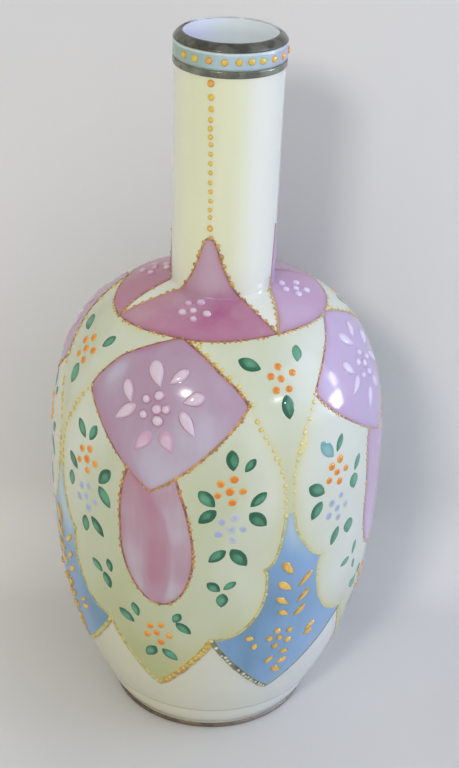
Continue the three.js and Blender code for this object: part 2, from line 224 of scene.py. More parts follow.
def strayed(table, turn, run):
    """A drift between the columns and the rows of its table."""
    ways = np.array(table)
    columns = ways.shape[1]
    place = turn / EIGHTH
    column = np.floor(place).astype(int)
    blend = 0.5 - 0.5 * np.cos(np.pi * (place - column))
    at_run = np.stack([np.interp(run, DRIFT_RUNS, ways[:, j]) for j in range(columns)])
    left = np.take_along_axis(at_run, (column % columns)[None, ...], axis=0)[0]
    right = np.take_along_axis(at_run, ((column + 1) % columns)[None, ...], axis=0)[0]
    return left * (1 - blend) + right * blend


def drawn(turn, run):
    """Where the hand put what belongs at a place."""
    turn, run = np.broadcast_arrays(np.asarray(turn, float), np.asarray(run, float))
    return turn + strayed(DRIFT_TURNS, turn, run), run + strayed(DRIFT_RISES, turn, run)


# Outlines of the fields, as half widths in degrees at a run
def rounded_point(half, run, wide, tip, curve):
    """A half width that closes in a rounded point from its wide level to its tip."""
    return half * (1 - part_way(run, wide, tip) ** curve) ** (1 / curve)


def diamond_half(run):
    upper = rounded_point(DIAMOND_HALF, run, DIAMOND_CORNER, HEM, 1.3)
    lower = rounded_point(DIAMOND_HALF, run, DIAMOND_CORNER, DIAMOND_BOTTOM, 1.15)
    return np.where(run >= DIAMOND_CORNER, upper, lower)


def mantle_flank(spire, shoulder, spire_curve, skirt_curve):
    """One flank of a mantle: its half width from the top of its spire over its shoulder to the hem."""
    def half_at(run):
        fall = part_way(run, MANTLE_TOP, MANTLE_SHOULDER)
        way = part_way(run, MANTLE_SHOULDER, HEM)
        neck = spire * fall**spire_curve + (shoulder - spire) * fall**3
        return neck + (EIGHTH - shoulder) * way**skirt_curve
    return half_at


# The plain flank, one that is slim up the neck and full only under its root, one that was painted right up to
# the next mantle, and one that gets wider and wider down to the hem
PLAIN_FLANK = mantle_flank(17.5, 38.5, 0.42, 0.8)
PINCHED_FLANK = mantle_flank(7.5, 7.5, 1, 0.62)
FULL_FLANK = mantle_flank(17.5, EIGHTH, 0.42, 0.8)
BROAD_FLANK = mantle_flank(25, 25, 0.75, 0.8)

# The left and the right flank of each mantle
MANTLE_FLANKS = [(PLAIN_FLANK, PLAIN_FLANK), (PINCHED_FLANK, FULL_FLANK), (FULL_FLANK, PLAIN_FLANK),
                 (PLAIN_FLANK, BROAD_FLANK)]


def stem_half(run):
    foot = BLUE_POINT + (DIAMOND_CORNER - BLUE_POINT) * 0.28
    return STEM_HALF + (YOKE_CORNER_HALF - STEM_HALF) * part_way(run, foot, DIAMOND_CORNER) ** 1.6


def yoke_half(run):
    return np.where(run >= DIAMOND_CORNER, EIGHTH - diamond_half(run), stem_half(run))


def blue_half(run):
    hem_half = EIGHTH - HEM_NOTCH_TURN
    tip = rounded_point(hem_half, run, HEM_NOTCH, HEM_TIP, 1.2)
    spur = BLUE_CUSP_SPUR * np.clip(1 - np.abs(run - BLUE_CUSP) / BLUE_CUSP_REACH, 0, 1)
    middle = HEM_NOTCH + (BLUE_CUSP - HEM_NOTCH) * 0.8
    reach = (run - middle) / (middle - HEM_NOTCH)
    waist = hem_half - (hem_half - BLUE_WAIST_HALF) * np.sqrt(np.clip(1 - reach**2, 0, 1))
    point = STEM_HALF + (BLUE_NECK_HALF - STEM_HALF) * (1 - part_way(run, BLUE_CUSP, BLUE_POINT)) ** 2
    return np.where(run <= HEM_NOTCH, tip, spur + np.where(run < BLUE_CUSP, waist, point))


def apron_half(run):
    tip = rounded_point(HEM_NOTCH_TURN, run, HEM_NOTCH, HEM_TIP, 1.2)
    border = EIGHTH - np.where(run >= BLUE_POINT, stem_half(run), blue_half(run))
    return np.where(run >= HEM_NOTCH, border, tip)


def oval_half(run):
    lower = np.sqrt(1 - part_way(run, OVAL_MIDDLE, OVAL_BOTTOM) ** 2)
    upper = np.sqrt(1 - 0.54 * part_way(run, OVAL_MIDDLE, OVAL_TOP) ** 2)
    return OVAL_HALF * np.where(run < OVAL_MIDDLE, lower, upper)


# Meshes
ROUND = 192
PATH_SAMPLES = 160
PATH_STEP = 0.7


def grid_faces(rows, columns, start=0, wrap=False, flip=False):
    """Quads over a grid of points that is counted row by row."""
    faces = []
    for i in range(start, start + (rows - 1) * columns, columns):
        for j in range(columns if wrap else columns - 1):
            k = (j + 1) % columns
            quad = [i + j, i + k, i + columns + k, i + columns + j]
            faces.append(quad[::-1] if flip else quad)
    return faces


def smooth_mesh(name, points, faces, material):
    mesh = bpy.data.meshes.new(name)
    mesh.from_pydata(np.asarray(points).reshape(-1, 3).tolist(), [], faces)
    mesh.update()
    mesh.shade_smooth()
    mesh.materials.append(material)
    made = bpy.data.objects.new(name, mesh)
    bpy.context.scene.collection.objects.link(made)
    return made


def piece(name, points, faces, material, slot, replaces=(), **attributes):
    """A mesh that rides on the vase, with the attributes that its material reads."""
    made = smooth_mesh(name, points, faces, material)
    for key, values in attributes.items():
        layer = made.data.attributes.new(key, "FLOAT", "POINT")
        layer.data.foreach_set("value", np.asarray(values, np.float32).ravel())
    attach(made, "root")
    if replaces:
        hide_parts(*replaces)


def revolve(name, profile, material, slot, node):
    """A closed profile of radius and height in millimetres, turned about the axis."""
    radius, height = np.array(profile).T[..., None]
    points = about_axis(radius, height, np.arange(ROUND) * 360 / ROUND)
    faces = grid_faces(len(profile), ROUND, wrap=True)
    last = (len(profile) - 1) * ROUND
    for j in range(ROUND):
        k = (j + 1) % ROUND
        faces.append([last + j, last + k, k, j])
    piece(name, points, faces, material, slot, [node])


def field_shell(name, node, flanks, low, high, centre, height, material, slot, tone_at, rows, columns, dip,
                pool, least):
    """A thin enamel field that swells from its edge, with its tone and its nearness to the edge.

    Its top line may dip to a point by dip, pool says how far pigment gathers from its edge, and least is
    the share of its height that it keeps at its edge.
    """
    rise = 0.5 - 0.5 * np.cos(np.linspace(0, np.pi, rows))[:, None]
    run = low + (high - low) * rise + np.zeros((1, columns))
    across = np.sin(np.linspace(-np.pi / 2, np.pi / 2, columns))[None, :]
    half = np.maximum(np.where(across < 0, flanks[0](run), flanks[1](run)), 0.05)
    turn, drawn_run = drawn(centre + half * across, run - dip * rise**2 * (1 - np.abs(across)))
    side = half * (1 - np.abs(across)) / degrees_for(1, run)
    edge = np.minimum(side, np.maximum(np.minimum(run - low, high - run), 0))
    swell = least + (1 - least) * (1 - np.exp(-edge / (FIELD_EASE / 3)))
    top = off_glass(turn, drawn_run, -0.02 + height * swell)
    bottom = off_glass(turn, drawn_run, -FIELD_BURY)
    count = rows * columns
    faces = grid_faces(rows, columns) + grid_faces(rows, columns, start=count, flip=True)
    grid = np.arange(count).reshape(rows, columns)
    around = np.concatenate([grid[0], grid[1:, -1], grid[-1, -2::-1], grid[-2:0:-1, 0]]).tolist()
    for a, b in zip(around, around[1:] + around[:1]):
        faces.append([a, count + a, count + b, b])
    tone = tone_at(across + 0 * run, rise + 0 * run)
    rim = np.exp(-edge / pool)
    piece(name, [top, bottom], faces, material, slot, [node], tone=[tone, tone], rim=[rim, rim])


# A drop's rings and a ridge's section, as shares of its width and of its height
DROP_RINGS = [(1, -0.1), (1, 0), (0.93, 0.4), (0.78, 0.7), (0.52, 0.92), (0.25, 1)]
RIDGE_SECTION = [(-0.5, -0.08), (-0.5, 0), (-0.33, 0.75), (0, 1), (0.33, 0.75), (0.5, 0), (0.5, -0.08)]


class Jewels:
    """Raised drops and lines of enamel or gilt, gathered into one mesh."""

    def __init__(self):
        self.points = []
        self.faces = []
        self.rim = []
        self.shade = []

    def add(self, turn, run, offset, rim, shade):
        """A row of points off the glass, with how near each is to the edge."""
        self.points.append(off_glass(turn, run, offset))
        self.rim.extend(rim)
        self.shade.extend([shade] * len(rim))

    def drop(self, turn, run, length, width, height, slant=0.0, foot=0.0, top=0.0, segments=14, base=0.0,
             shade=0.5, fold=0.0):
        """A drop on the glass.

        Its top end leans by slant to the right, foot and top sharpen its ends, and fold darkens one side.
        """
        theta = np.linspace(0, 2 * np.pi, segments, endpoint=False)
        across = np.sin(theta) * np.abs(np.cos(theta / 2)) ** (2 * foot)
        across *= np.abs(np.sin(theta / 2)) ** (2 * top)
        across *= 0.5 * width / np.abs(across).max()
        along = 0.5 * length * np.cos(theta)
        lean = math.radians(slant)
        start = len(self.rim)
        for share, level in DROP_RINGS:
            x = share * (across * math.cos(lean) + along * math.sin(lean))
            y = share * (along * math.cos(lean) - across * math.sin(lean))
            rim = np.clip(share + fold * share * np.sin(theta), 0, 1)
            self.add(turn + degrees_for(x, run), run + y, base + height * level, rim, shade)
        crown = len(self.rim)
        last = crown - segments
        self.add(np.full(2, turn), np.full(2, run), np.array([base + height, base - 0.1]), [0, 1], shade)
        self.faces += grid_faces(len(DROP_RINGS), segments, start=start, wrap=True, flip=True)
        for j in range(segments):
            k = (j + 1) % segments
            self.faces.append([last + k, last + j, crown])
            self.faces.append([start + j, start + k, crown + 1])

    def ridge(self, turn, run, width, height, base, chance):
        """A raised line along a path on the glass, as wide as a hand makes it."""
        right, up = heading(turn, run)
        wobble = np.array([chance.uniform(0.8, 1.2) for _ in turn])
        wobble = np.convolve(np.pad(wobble, 1, mode="edge"), [0.25, 0.5, 0.25], mode="valid")
        count = len(turn)
        start = len(self.rim)
        for share, level in RIDGE_SECTION:
            reach = share * width * wobble
            rim = [abs(share) * 2] * count
            offset = base + height * level * wobble
            self.add(turn + degrees_for(up * reach, run), run - right * reach, offset, rim, 0.5)
        end = len(self.rim)
        last = end - count
        self.faces += grid_faces(len(RIDGE_SECTION), count, start=start)
        for i in range(count - 1):
            self.faces.append([start + i + 1, start + i, last + i, last + i + 1])
        self.faces.append(list(range(start, end, count)))
        self.faces.append(list(range(end - 1, start, -count)))

    def build(self, name, material, slot):
        if self.points:
            points = np.concatenate(self.points)
            piece(name, points, self.faces, material, slot, rim=self.rim, shade=self.shade)


def heading(turn, run):
    """The way that a path on the glass goes, to the right and up."""
    right = np.gradient(np.radians(turn - turn[0]) * np.interp(run, STATION_RUN, STATION_R))
    up = np.gradient(run)
    length = np.hypot(right, up) + 1e-9
    return right / length, up / length


def resampled(turn, run, step):
    """The same path with even steps of about a length."""
    width = np.diff(turn) / degrees_for(1, 0.5 * (run[1:] + run[:-1]))
    travelled = np.concatenate([[0], np.cumsum(np.hypot(width, np.diff(run)))])
    count = max(int(round(travelled[-1] / step)), 2)
    at = np.linspace(0, travelled[-1], count + 1)
    return np.interp(at, travelled, turn), np.interp(at, travelled, run)


def side_path(half_at, low, high, centre, side):
    """The path up one side of a field."""
    run = low + (high - low) * (0.5 - 0.5 * np.cos(np.linspace(0, np.pi, PATH_SAMPLES)))
    return resampled(*drawn(centre + side * half_at(run), run), PATH_STEP)


# Materials, their heights and radii in metres and their turns in degrees
NOISE_BAND = (0.3, 0.7)
BACK_FADE = (115, 175)
COAT_ROUGHNESS = 0.06
GLOW_RADIUS = (1.0, 0.95, 0.85)
GLOW_SCALE = 0.003
WASH_EDGE = (0.118, 0.124)
# Heights over which the painted shade at the root of the neck fades out
ROOT_SHADE_HEIGHTS = (0.134, 0.148)
BORE_START = (0.13, 0.15)
BORE_RADII = (0.0124, 0.0134)
# Heights over which the painted shade near the foot fades out
LOW_SHADE_HEIGHTS = (0.024, 0.062)
FINE_WEAR = 420


def linear(colour):
    """A colour as a screen shows it, from 0 to 255, turned into linear light."""
    levels = []
    for level in colour:
        share = level / 255
        levels.append(share / 12.92 if share <= 0.04045 else ((share + 0.055) / 1.055) ** 2.4)
    return (*levels, 1.0)


class Nodes:
    """A node tree and short ways to add nodes to it."""

    def __init__(self, tree):
        self.tree = tree

    def feed(self, value, socket):
        """Gives a socket a node's output, a number, or a colour as a screen shows it."""
        if isinstance(value, bpy.types.NodeSocket):
            self.tree.links.new(value, socket)
        else:
            socket.default_value = linear(value) if socket.type == "RGBA" and len(value) == 3 else value

    def fill(self, node, **inputs):
        """Feeds a node's inputs, each named with _ where it has a space."""
        for key, value in inputs.items():
            self.feed(value, node.inputs[key.replace("_", " ")])
        return node

    def node(self, kind, **inputs):
        return self.fill(self.tree.nodes.new("ShaderNode" + kind), **inputs)

    def ramp(self, source, low, high, out_low=0.0, out_high=1.0):
        node = self.node("MapRange", Value=source, From_Min=low, From_Max=high)
        node.interpolation_type = "SMOOTHSTEP"
        self.fill(node, To_Min=out_low, To_Max=out_high)
        return node.outputs["Result"]

    def math(self, operation, a, b):
        node = self.node("Math")
        node.operation = operation
        self.feed(a, node.inputs[0])
        self.feed(b, node.inputs[1])
        return node.outputs["Value"]

    def times(self, a, b):
        return self.math("MULTIPLY", a, b)

    def plus(self, a, b):
        return self.math("ADD", a, b)

    def mix(self, factor, a, b):
        """A colour between a and b, each a colour or a node's output."""
        node = self.node("Mix", Factor=factor)
        node.data_type = "RGBA"
        first, second = (s for s in node.inputs if s.type == "RGBA")
        self.feed(a, first)
        self.feed(b, second)
        return next(s for s in node.outputs if s.type == "RGBA")


class Finish(Nodes):
    """A principled material and what its nodes read."""

    def __init__(self, name, roughness, metallic=0.0, coat=0.0, glow=0.0):
        self.material = bpy.data.materials.new(name)
        self.material.use_nodes = True
        super().__init__(self.material.node_tree)
        self.shader = self.tree.nodes["Principled BSDF"]
        self.shade(Roughness=roughness, Metallic=metallic, Coat_Weight=coat, Coat_Roughness=COAT_ROUGHNESS)
        if glow:
            self.shade(Subsurface_Weight=glow, Subsurface_Radius=GLOW_RADIUS, Subsurface_Scale=GLOW_SCALE)
        self.place = self.node("TexCoord").outputs["Object"]

    def shade(self, **inputs):
        self.fill(self.shader, **inputs)

    def noise(self, scale, detail=3.0, stretch=(1, 1, 1), roughness=0.5):
        """Noise from 0 to 1 over the object's own place, with scale in waves per metre."""
        place = self.node("Mapping", Scale=stretch, Vector=self.place).outputs["Vector"]
        noise = self.node("TexNoise", Scale=scale, Detail=detail, Roughness=roughness, Vector=place)
        return noise.outputs["Fac"]

    def attribute(self, name):
        node = self.node("Attribute")
        node.attribute_name = name
        return node.outputs["Fac"]

    def place_parts(self):
        return self.node("SeparateXYZ", Vector=self.place).outputs

    def height(self):
        return self.place_parts()["Z"]

    def turn(self):
        """Degrees about the vase's axis, from 0 at the front motif to 180 either way."""
        x, y, _ = self.place_parts()
        return self.times(self.math("ARCTAN2", x, self.times(y, -1)), 180 / math.pi)

    def radius(self):
        x, y, _ = self.place_parts()
        return self.math("POWER", self.plus(self.times(x, x), self.times(y, y)), 0.5)

    def tinted(self, colour, tint, start, end, amount):
        """The colour, going over by an amount to a tint from one turn about the axis to another.

        It does so to the right where end is the larger turn, else to the left, and goes back behind the vase.
        """
        turn = self.turn()
        fade_start, fade_end = BACK_FADE
        if start < end:
            share = self.times(self.ramp(turn, start, end, 0, amount), self.ramp(turn, *BACK_FADE, 1, 0))
        else:
            share = self.times(self.ramp(turn, end, start, amount, 0), self.ramp(turn, -fade_end, -fade_start))
        return self.mix(share, colour, tint)

    def bump(self, source, depth):
        """Relief from a source between 0 and 1, its depth in millimetres."""
        relief = self.node("Bump", Strength=1, Distance=depth * MM, Height=source)
        self.shade(Normal=relief.outputs["Normal"])

    def uneven_gloss(self, source, low, high):
        self.shade(Roughness=self.ramp(source, *NOISE_BAND, low, high))


def opal_glass():
    """Milk glass, white below the hem and cream-washed above it, with painted light and shade: the white goes
    darker and warmer to the left, the wash goes paler to the right and greyer at and below the root of the
    neck, and the wash also goes paler to the left.
    """
    finish = Finish("opal_glass", 0.1, glow=0.25)
    height = finish.height()
    turn = finish.turn()
    cloud = finish.noise(28, detail=2)
    streaks = finish.noise(60, stretch=(1, 1, 0.15))
    white = finish.mix(finish.ramp(cloud, 0.35, 0.7), (226, 230, 228), (216, 221, 218))
    # Painted warm shade: the white glass goes darker and warmer to the left.
    white = finish.tinted(white, (209, 206, 176), 72, -20, 0.9)
    cream = finish.mix(finish.ramp(streaks, 0.3, 0.75), (226, 229, 196), (214, 219, 182))
    # Painted light: the wash goes paler to the right.
    cream = finish.tinted(cream, (236, 238, 230), 20, 56, 0.85)
    cream = finish.tinted(cream, (232, 233, 220), -15, -60, 0.8)
    # Painted shade: the wash goes greyer at and below the root of the neck.
    cream = finish.mix(finish.ramp(height, *ROOT_SHADE_HEIGHTS, 0.35, 0), cream, (214, 218, 212))
    outside = finish.mix(finish.ramp(height, *WASH_EDGE), white, cream)
    in_neck = finish.times(finish.ramp(finish.radius(), *BORE_RADII, 1, 0), finish.ramp(height, *BORE_START))
    far_left = finish.times(finish.ramp(turn, -165, -105), finish.ramp(turn, -60, 0, 1, 0))
    bore = finish.mix(far_left, (221, 230, 230), (222, 224, 244))
    finish.shade(Base_Color=finish.mix(in_neck, outside, bore))
    gloss = finish.ramp(cloud, *NOISE_BAND, 0.07, 0.16)
    finish.shade(Roughness=finish.plus(gloss, finish.times(in_neck, 0.5)))
    finish.bump(finish.noise(90, detail=1), 0.05)
    return finish.material


def enamel(name, deep, base, light, rim, side, roughness, scale=70, lit_side_from=(48, 66, 0.75),
           streak=(1, 1, 0.3), pooling=(0.25, 0.75), left=None, low=None):
    """Painted enamel: its tone runs from deep to light, with brush streaks and pigment pooled at the rim.

    To the right of the vase it goes over to its side colour, painted cool light and sheen from that side. It
    may go over to a left colour, painted warm light from the left, and to a darker low colour near the foot,
    painted shade under the body.
    """
    finish = Finish(name, roughness, glow=0.1)
    streaks = finish.noise(scale, detail=4, stretch=streak)
    blots = finish.noise(scale * 0.45, detail=2)
    tone = finish.plus(finish.attribute("tone"), finish.ramp(streaks, 0.25, 0.75, -0.22, 0.22))
    tone = finish.plus(tone, finish.ramp(blots, *NOISE_BAND, -0.2, 0.2))
    lower = finish.mix(finish.ramp(tone, 0, 0.5), deep, base)
    colour = finish.mix(finish.ramp(tone, 0.5, 1), lower, light)
    # Painted cool light and sheen: paler to the right of the vase.
    colour = finish.tinted(colour, side, *lit_side_from)
    # Painted warm light: a warmer left colour towards the left of the vase.
    if left:
        colour = finish.tinted(colour, left, 5, -40, 0.7)
    # Painted shade: darker near the foot, under the body.
    if low:
        colour = finish.mix(finish.ramp(finish.height(), *LOW_SHADE_HEIGHTS, 0.75, 0), colour, low)
    pooled = finish.times(finish.attribute("rim"), finish.ramp(streaks, *NOISE_BAND, *pooling))
    finish.shade(Base_Color=finish.mix(pooled, colour, rim))
    finish.uneven_gloss(blots, roughness * 0.75, roughness * 1.3)
    finish.bump(streaks, 0.04)
    return finish.material


def collar_enamel():
    """The collar's band: grey-blue, greenish and darker to the left, painted shade, and lilac to the right,
    painted cool light, with a pale line on top.
    """
    finish = Finish("collar_blue_enamel", 0.18, glow=0.1)
    streaks = finish.noise(120, stretch=(1, 1, 0.4))
    colour = finish.mix(finish.ramp(streaks, *NOISE_BAND), (160, 186, 194), (176, 202, 208))
    # Painted shade to the left and painted cool light to the right.
    colour = finish.tinted(colour, (150, 176, 158), 28, -45, 0.95)
    colour = finish.tinted(colour, (192, 192, 218), 45, 95, 0.9)
    top_line = finish.ramp(finish.height(), (COLLAR_TOP - 0.75) * MM, (COLLAR_TOP - 0.55) * MM, 0, 0.75)
    finish.shade(Base_Color=finish.mix(top_line, colour, (214, 224, 222)))
    finish.bump(streaks, 0.03)
    return finish.material


def jewel(name, middle, edge, roughness, metallic=0.0, glow=0.15, rim_start=0.45, spread=0.3, side=None,
          lit_side_from=(56, 84, 0.75)):
    """A raised drop: light where it is thick, its colour gathered at the edge, each drop a little its own.

    It may go paler to the right, painted cool light from that side, as the enamels do.
    """
    finish = Finish(name, roughness, metallic, 0.3, glow)
    mottle = finish.noise(260, detail=2)
    gathered = finish.ramp(finish.attribute("rim"), rim_start, 1)
    gathered = finish.plus(gathered, finish.ramp(mottle, *NOISE_BAND, -0.25, 0.25))
    gathered = finish.plus(gathered, finish.ramp(finish.attribute("shade"), 0, 1, -spread, spread))
    clipped = finish.math("MINIMUM", finish.math("MAXIMUM", gathered, 0), 1)
    colour = finish.mix(clipped, middle, edge)
    # Painted cool light: paler to the right of the vase.
    if side:
        colour = finish.tinted(colour, side, *lit_side_from)
    finish.shade(Base_Color=colour)
    finish.uneven_gloss(mottle, roughness * 0.7, roughness * 1.5)
    finish.bump(mottle, 0.02)
    return finish.material


def gilt(name, bright, dull, metallic, roughness, scale=220, side=None, lit_side_from=(10, 70, 0.8), pale_back=None):
    """Gilding with tarnished spots, which may go paler to the right, painted light from that side, and go pale
    at the back.
    """
    finish = Finish(name, roughness, metallic, 0.1)
    wear = finish.noise(scale, detail=4, roughness=0.65)
    colour = finish.mix(finish.ramp(wear, 0.38, 0.62), bright, dull)
    # Painted light: paler to the right of the vase.
    if side:
        colour = finish.tinted(colour, side, *lit_side_from)
    # Pale at the back of the vase.
    if pale_back:
        turn = finish.turn()
        colour = finish.mix(finish.ramp(turn, 108, 132, 0, 0.95), colour, pale_back)
        colour = finish.mix(finish.ramp(turn, -118, -92, 0.95, 0), colour, pale_back)
    finish.shade(Base_Color=colour)
    finish.uneven_gloss(wear, roughness * 0.7, roughness * 1.4)
    finish.bump(wear, 0.03)
    return finish.material


# Heights and levels of the collar's bands, in millimetres
BAND_GAP = 0.1
COLLAR_HEIGHT = 4.5
LOWER_GILT_HEIGHT = 1.9
GLASS_TOP = TOTAL_HEIGHT - SKIN
LIP_START = GLASS_TOP - LIP_BEVEL_HEIGHT
COLLAR_TOP = LIP_START - BAND_GAP
COLLAR_BOTTOM = COLLAR_TOP - COLLAR_HEIGHT
LOWER_GILT_TOP = COLLAR_BOTTOM - BAND_GAP
LOWER_GILT_BOTTOM = LOWER_GILT_TOP - LOWER_GILT_HEIGHT

OPAL = opal_glass()
MAUVE = enamel("mauve_enamel", (172, 84, 134), (180, 122, 150), (194, 164, 180), (150, 84, 98),
               (200, 174, 208), 0.13, 85, streak=(1, 1, 0.4), left=(186, 136, 148))
LILAC = enamel("lilac_enamel", (172, 130, 154), (178, 152, 172), (190, 182, 198), (166, 104, 110),
               (203, 185, 222), 0.12)
ROSE = enamel("rose_enamel", (178, 127, 144), (180, 144, 158), (192, 180, 190), (166, 90, 98),
              (206, 180, 214), 0.14, 90, streak=(1, 1, 0.2))
CREAM = enamel("cream_enamel", (182, 188, 136), (198, 204, 172), (217, 223, 206), (206, 198, 112),
               (226, 232, 222), 0.13, 40, (18, 80, 0.8), pooling=(0.1, 0.6), low=(176, 178, 110))
BLUE = enamel("blue_enamel", (104, 142, 172), (124, 162, 200), (182, 204, 216), (146, 168, 160),
              (152, 188, 228), 0.2, 50, (34, 62, 0.55))
BAND_BLUE = collar_enamel()
LIP_GILT = gilt("lip_gilding", (104, 105, 94), (68, 68, 60), 0.4, 0.2, pale_back=(216, 220, 224))
NECK_GILT = gilt("neck_gilding", (136, 138, 124), (98, 100, 90), 0.4, 0.28)
FOOT_GILT = gilt("foot_gilding", (132, 114, 94), (96, 84, 72), 0.4, 0.3, side=(156, 148, 142))
GOLD_BEAD = jewel("gold_beads", (226, 194, 78), (224, 150, 62), 0.24, 0.15, 0, spread=0.5)
YELLOW_BEAD = jewel("yellow_gold_beads", (224, 204, 112), (202, 174, 84), 0.28, 0.1, 0, spread=0.4,
                    side=(228, 222, 166), lit_side_from=(22, 50, 0.65))
PALE_BEAD = jewel("pale_beads", (222, 218, 190), (172, 168, 140), 0.25, glow=0)
GOLD_LEAF = jewel("gold_leaves", (236, 194, 104), (190, 154, 72), 0.2, 0.2, 0)
BROWN_LINE = gilt("reddish_outline", (182, 122, 92), (128, 82, 68), 0.1, 0.35, FINE_WEAR,
                  (172, 156, 176), (62, 80, 0.7))
GOLD_LINE = gilt("gold_outline", (210, 168, 92), (168, 122, 70), 0.15, 0.35, FINE_WEAR,
                 (208, 194, 140), (46, 72, 0.65))
HEM_LINE = gilt("hem_outline", (214, 190, 96), (180, 142, 78), 0.15, 0.35, FINE_WEAR)
MOSS_LINE = gilt("moss_outline", (206, 200, 132), (164, 156, 94), 0.1, 0.35, FINE_WEAR,
                 (214, 212, 168), (32, 62, 0.7))
OLIVE_LINE = gilt("olive_outline", (134, 136, 106), (92, 92, 72), 0.1, 0.3, FINE_WEAR)
WHITE_JEWEL = jewel("raised_white_enamel", (216, 198, 210), (204, 160, 186), 0.1, spread=0.45,
                    side=(224, 216, 246))
LEAF_GREEN = jewel("leaf_green_enamel", (92, 160, 124), (28, 96, 66), 0.12, rim_start=0.1, spread=0.35,
                   side=(112, 178, 150), lit_side_from=(44, 74, 0.55))
TEAL = jewel("teal_enamel", (140, 188, 188), (116, 170, 172), 0.14, rim_start=0.1, spread=0.2)
ORANGE = jewel("orange_enamel", (230, 124, 20), (238, 172, 74), 0.18, side=(236, 164, 100),
               lit_side_from=(60, 84, 0.45))
PERIWINKLE = jewel("periwinkle_enamel", (164, 176, 212), (196, 206, 212), 0.3, rim_start=0.1)
HALO = jewel("rosy_halo", (176, 124, 150), (178, 142, 162), 0.25, side=(188, 168, 208),
             lit_side_from=(56, 84, 0.9))


# The glass itself
def bow(start, end, bulge, steps):
    """A shallow bow from one profile point to another, which bulges to the right of its way."""
    start, end = np.array(start), np.array(end)
    across = np.array([end[1] - start[1], start[0] - end[0]])
    across = across / np.hypot(*across) * bulge
    return [tuple(start * (1 - t) + end * t + across * 4 * t * (1 - t)) for t in np.linspace(0, 1, steps + 1)]


def glass_line(start_height, end_height, offset, step=1.0):
    start = run_at(start_height)
    end = run_at(end_height)
    return list(zip(*profile_at(np.linspace(start, end, int(abs(end - start) / step) + 1), offset)))


def quarter_ellipse(height, across, up, steps):
    angles = [math.pi / 2 * i / steps for i in range(steps + 1)]
    return [(max(across * math.cos(angle), 0.02), height + up * math.sin(angle)) for angle in angles]


MOUTH_RADIUS = NECK_TOP_RADIUS - RIM_WALL
FOOT_EDGE = (FOOT_OUTER_RADIUS, 0.0)
ROLL_FOOT = (FOOT_OUTER_RADIUS, FOOT_BAND_HEIGHT)
GROOVE_HEIGHT = FOOT_HEIGHT - FOOT_GROOVE_HEIGHT / 2
ROLL_TOP = (float(glass_radius(GROOVE_HEIGHT)) - FOOT_GROOVE_DEPTH, GROOVE_HEIGHT)


def lip_line(offset):
    start = (float(glass_radius(LIP_START)) + offset, LIP_START)
    return bow(start, (MOUTH_RADIUS + LIP_FLAT, GLASS_TOP + offset), LIP_BULGE, 8)


def make_glass():
    recess = quarter_ellipse(0, FOOT_OUTER_RADIUS - RESTING_WIDTH, BASE_RECESS, 10)[::-1]
    foot = [FOOT_EDGE, *bow(ROLL_FOOT, ROLL_TOP, FOOT_ROLL_BULGE, 12)]
    outside = glass_line(FOOT_HEIGHT, LIP_START, 0)
    mouth = [(MOUTH_RADIUS + MOUTH_EASE, GLASS_TOP), (MOUTH_RADIUS, GLASS_TOP - MOUTH_EASE)]
    bore_foot = profile_at(BORE_EASE, -RIM_WALL)
    bore = [(MOUTH_RADIUS + (bore_foot[0] - MOUTH_RADIUS) * t,
             GLASS_TOP - MOUTH_EASE + (bore_foot[1] - GLASS_TOP + MOUTH_EASE) * t)
            for t in np.linspace(0.05, 1, 24)]
    cavity = glass_line(SHOULDER_HEIGHT, FLOOR_HEIGHT + FLOOR_ROUND, -BODY_WALL, step=2.0)
    wall_radius, wall_height = cavity[-1]
    floor = quarter_ellipse(wall_height, wall_radius, FLOOR_HEIGHT - wall_height, 10)[1:]
    profile = [*recess, *foot, *outside, *lip_line(0)[1:], *mouth, *bore, *cavity, *floor]
    revolve("blown_glass", profile, OPAL, "opal_glass", "glass_body")


def skin(name, line, material, slot, node):
    """A skin between two offsets of one profile line."""
    revolve(name, [*line(SKIN), *line(-SKIN_BURY)[::-1]], material, slot, node)


FOOT_GILT_START = 0.2
FOOT_GILT_HEIGHT = 1.4
BAND_STEPS = 13


def rounded_band(bottom, top, radius_at=glass_radius):
    """The line of a band whose edges ease into what it lies on."""
    def line(offset):
        points = []
        for t in np.linspace(0, 1, BAND_STEPS):
            ease = min(1.0, 6 * t + 0.25, 6 * (1 - t) + 0.25)
            z = bottom + (top - bottom) * t
            points.append((float(radius_at(z)) + (offset * ease if offset > 0 else offset), z))
        return points
    return line


def rim_line(offset):
    return [*lip_line(offset), (MOUTH_RADIUS + MOUTH_EASE, GLASS_TOP + offset)]


# The painted fields: their tones across from -1 to 1 and up from 0 to 1
def spot(u, v, right, up, wide, tall):
    """A soft spot, from 1 at its middle to 0 far off."""
    return np.exp(-((u - right) ** 2) / wide - (v - up) ** 2 / tall)


def mantle_tone(u, v):
    """Deep to the right of the dots, pale up the spire and out to the left corner."""
    deep = spot(u, v, 0.42, 0.24, 0.16, 0.05)
    return 0.62 - 0.62 * deep + 0.2 * np.clip(-u - 0.25, 0, 1) + 0.55 * np.clip(v - 0.4, 0, 1)


def diamond_tone(u, v):
    """Rosy at the left edge and about the flower, greyer to the right, with a pale fold at the upper left."""
    rosy = np.exp(-((u + 0.85) ** 2) / 0.06) + 0.8 * spot(u, v, 0, 0.5, 0.05, 0.03)
    return 0.74 - 0.4 * v - 0.26 * rosy + 0.08 * u + 0.75 * spot(u, v, -0.78, 0.69, 0.05, 0.02)


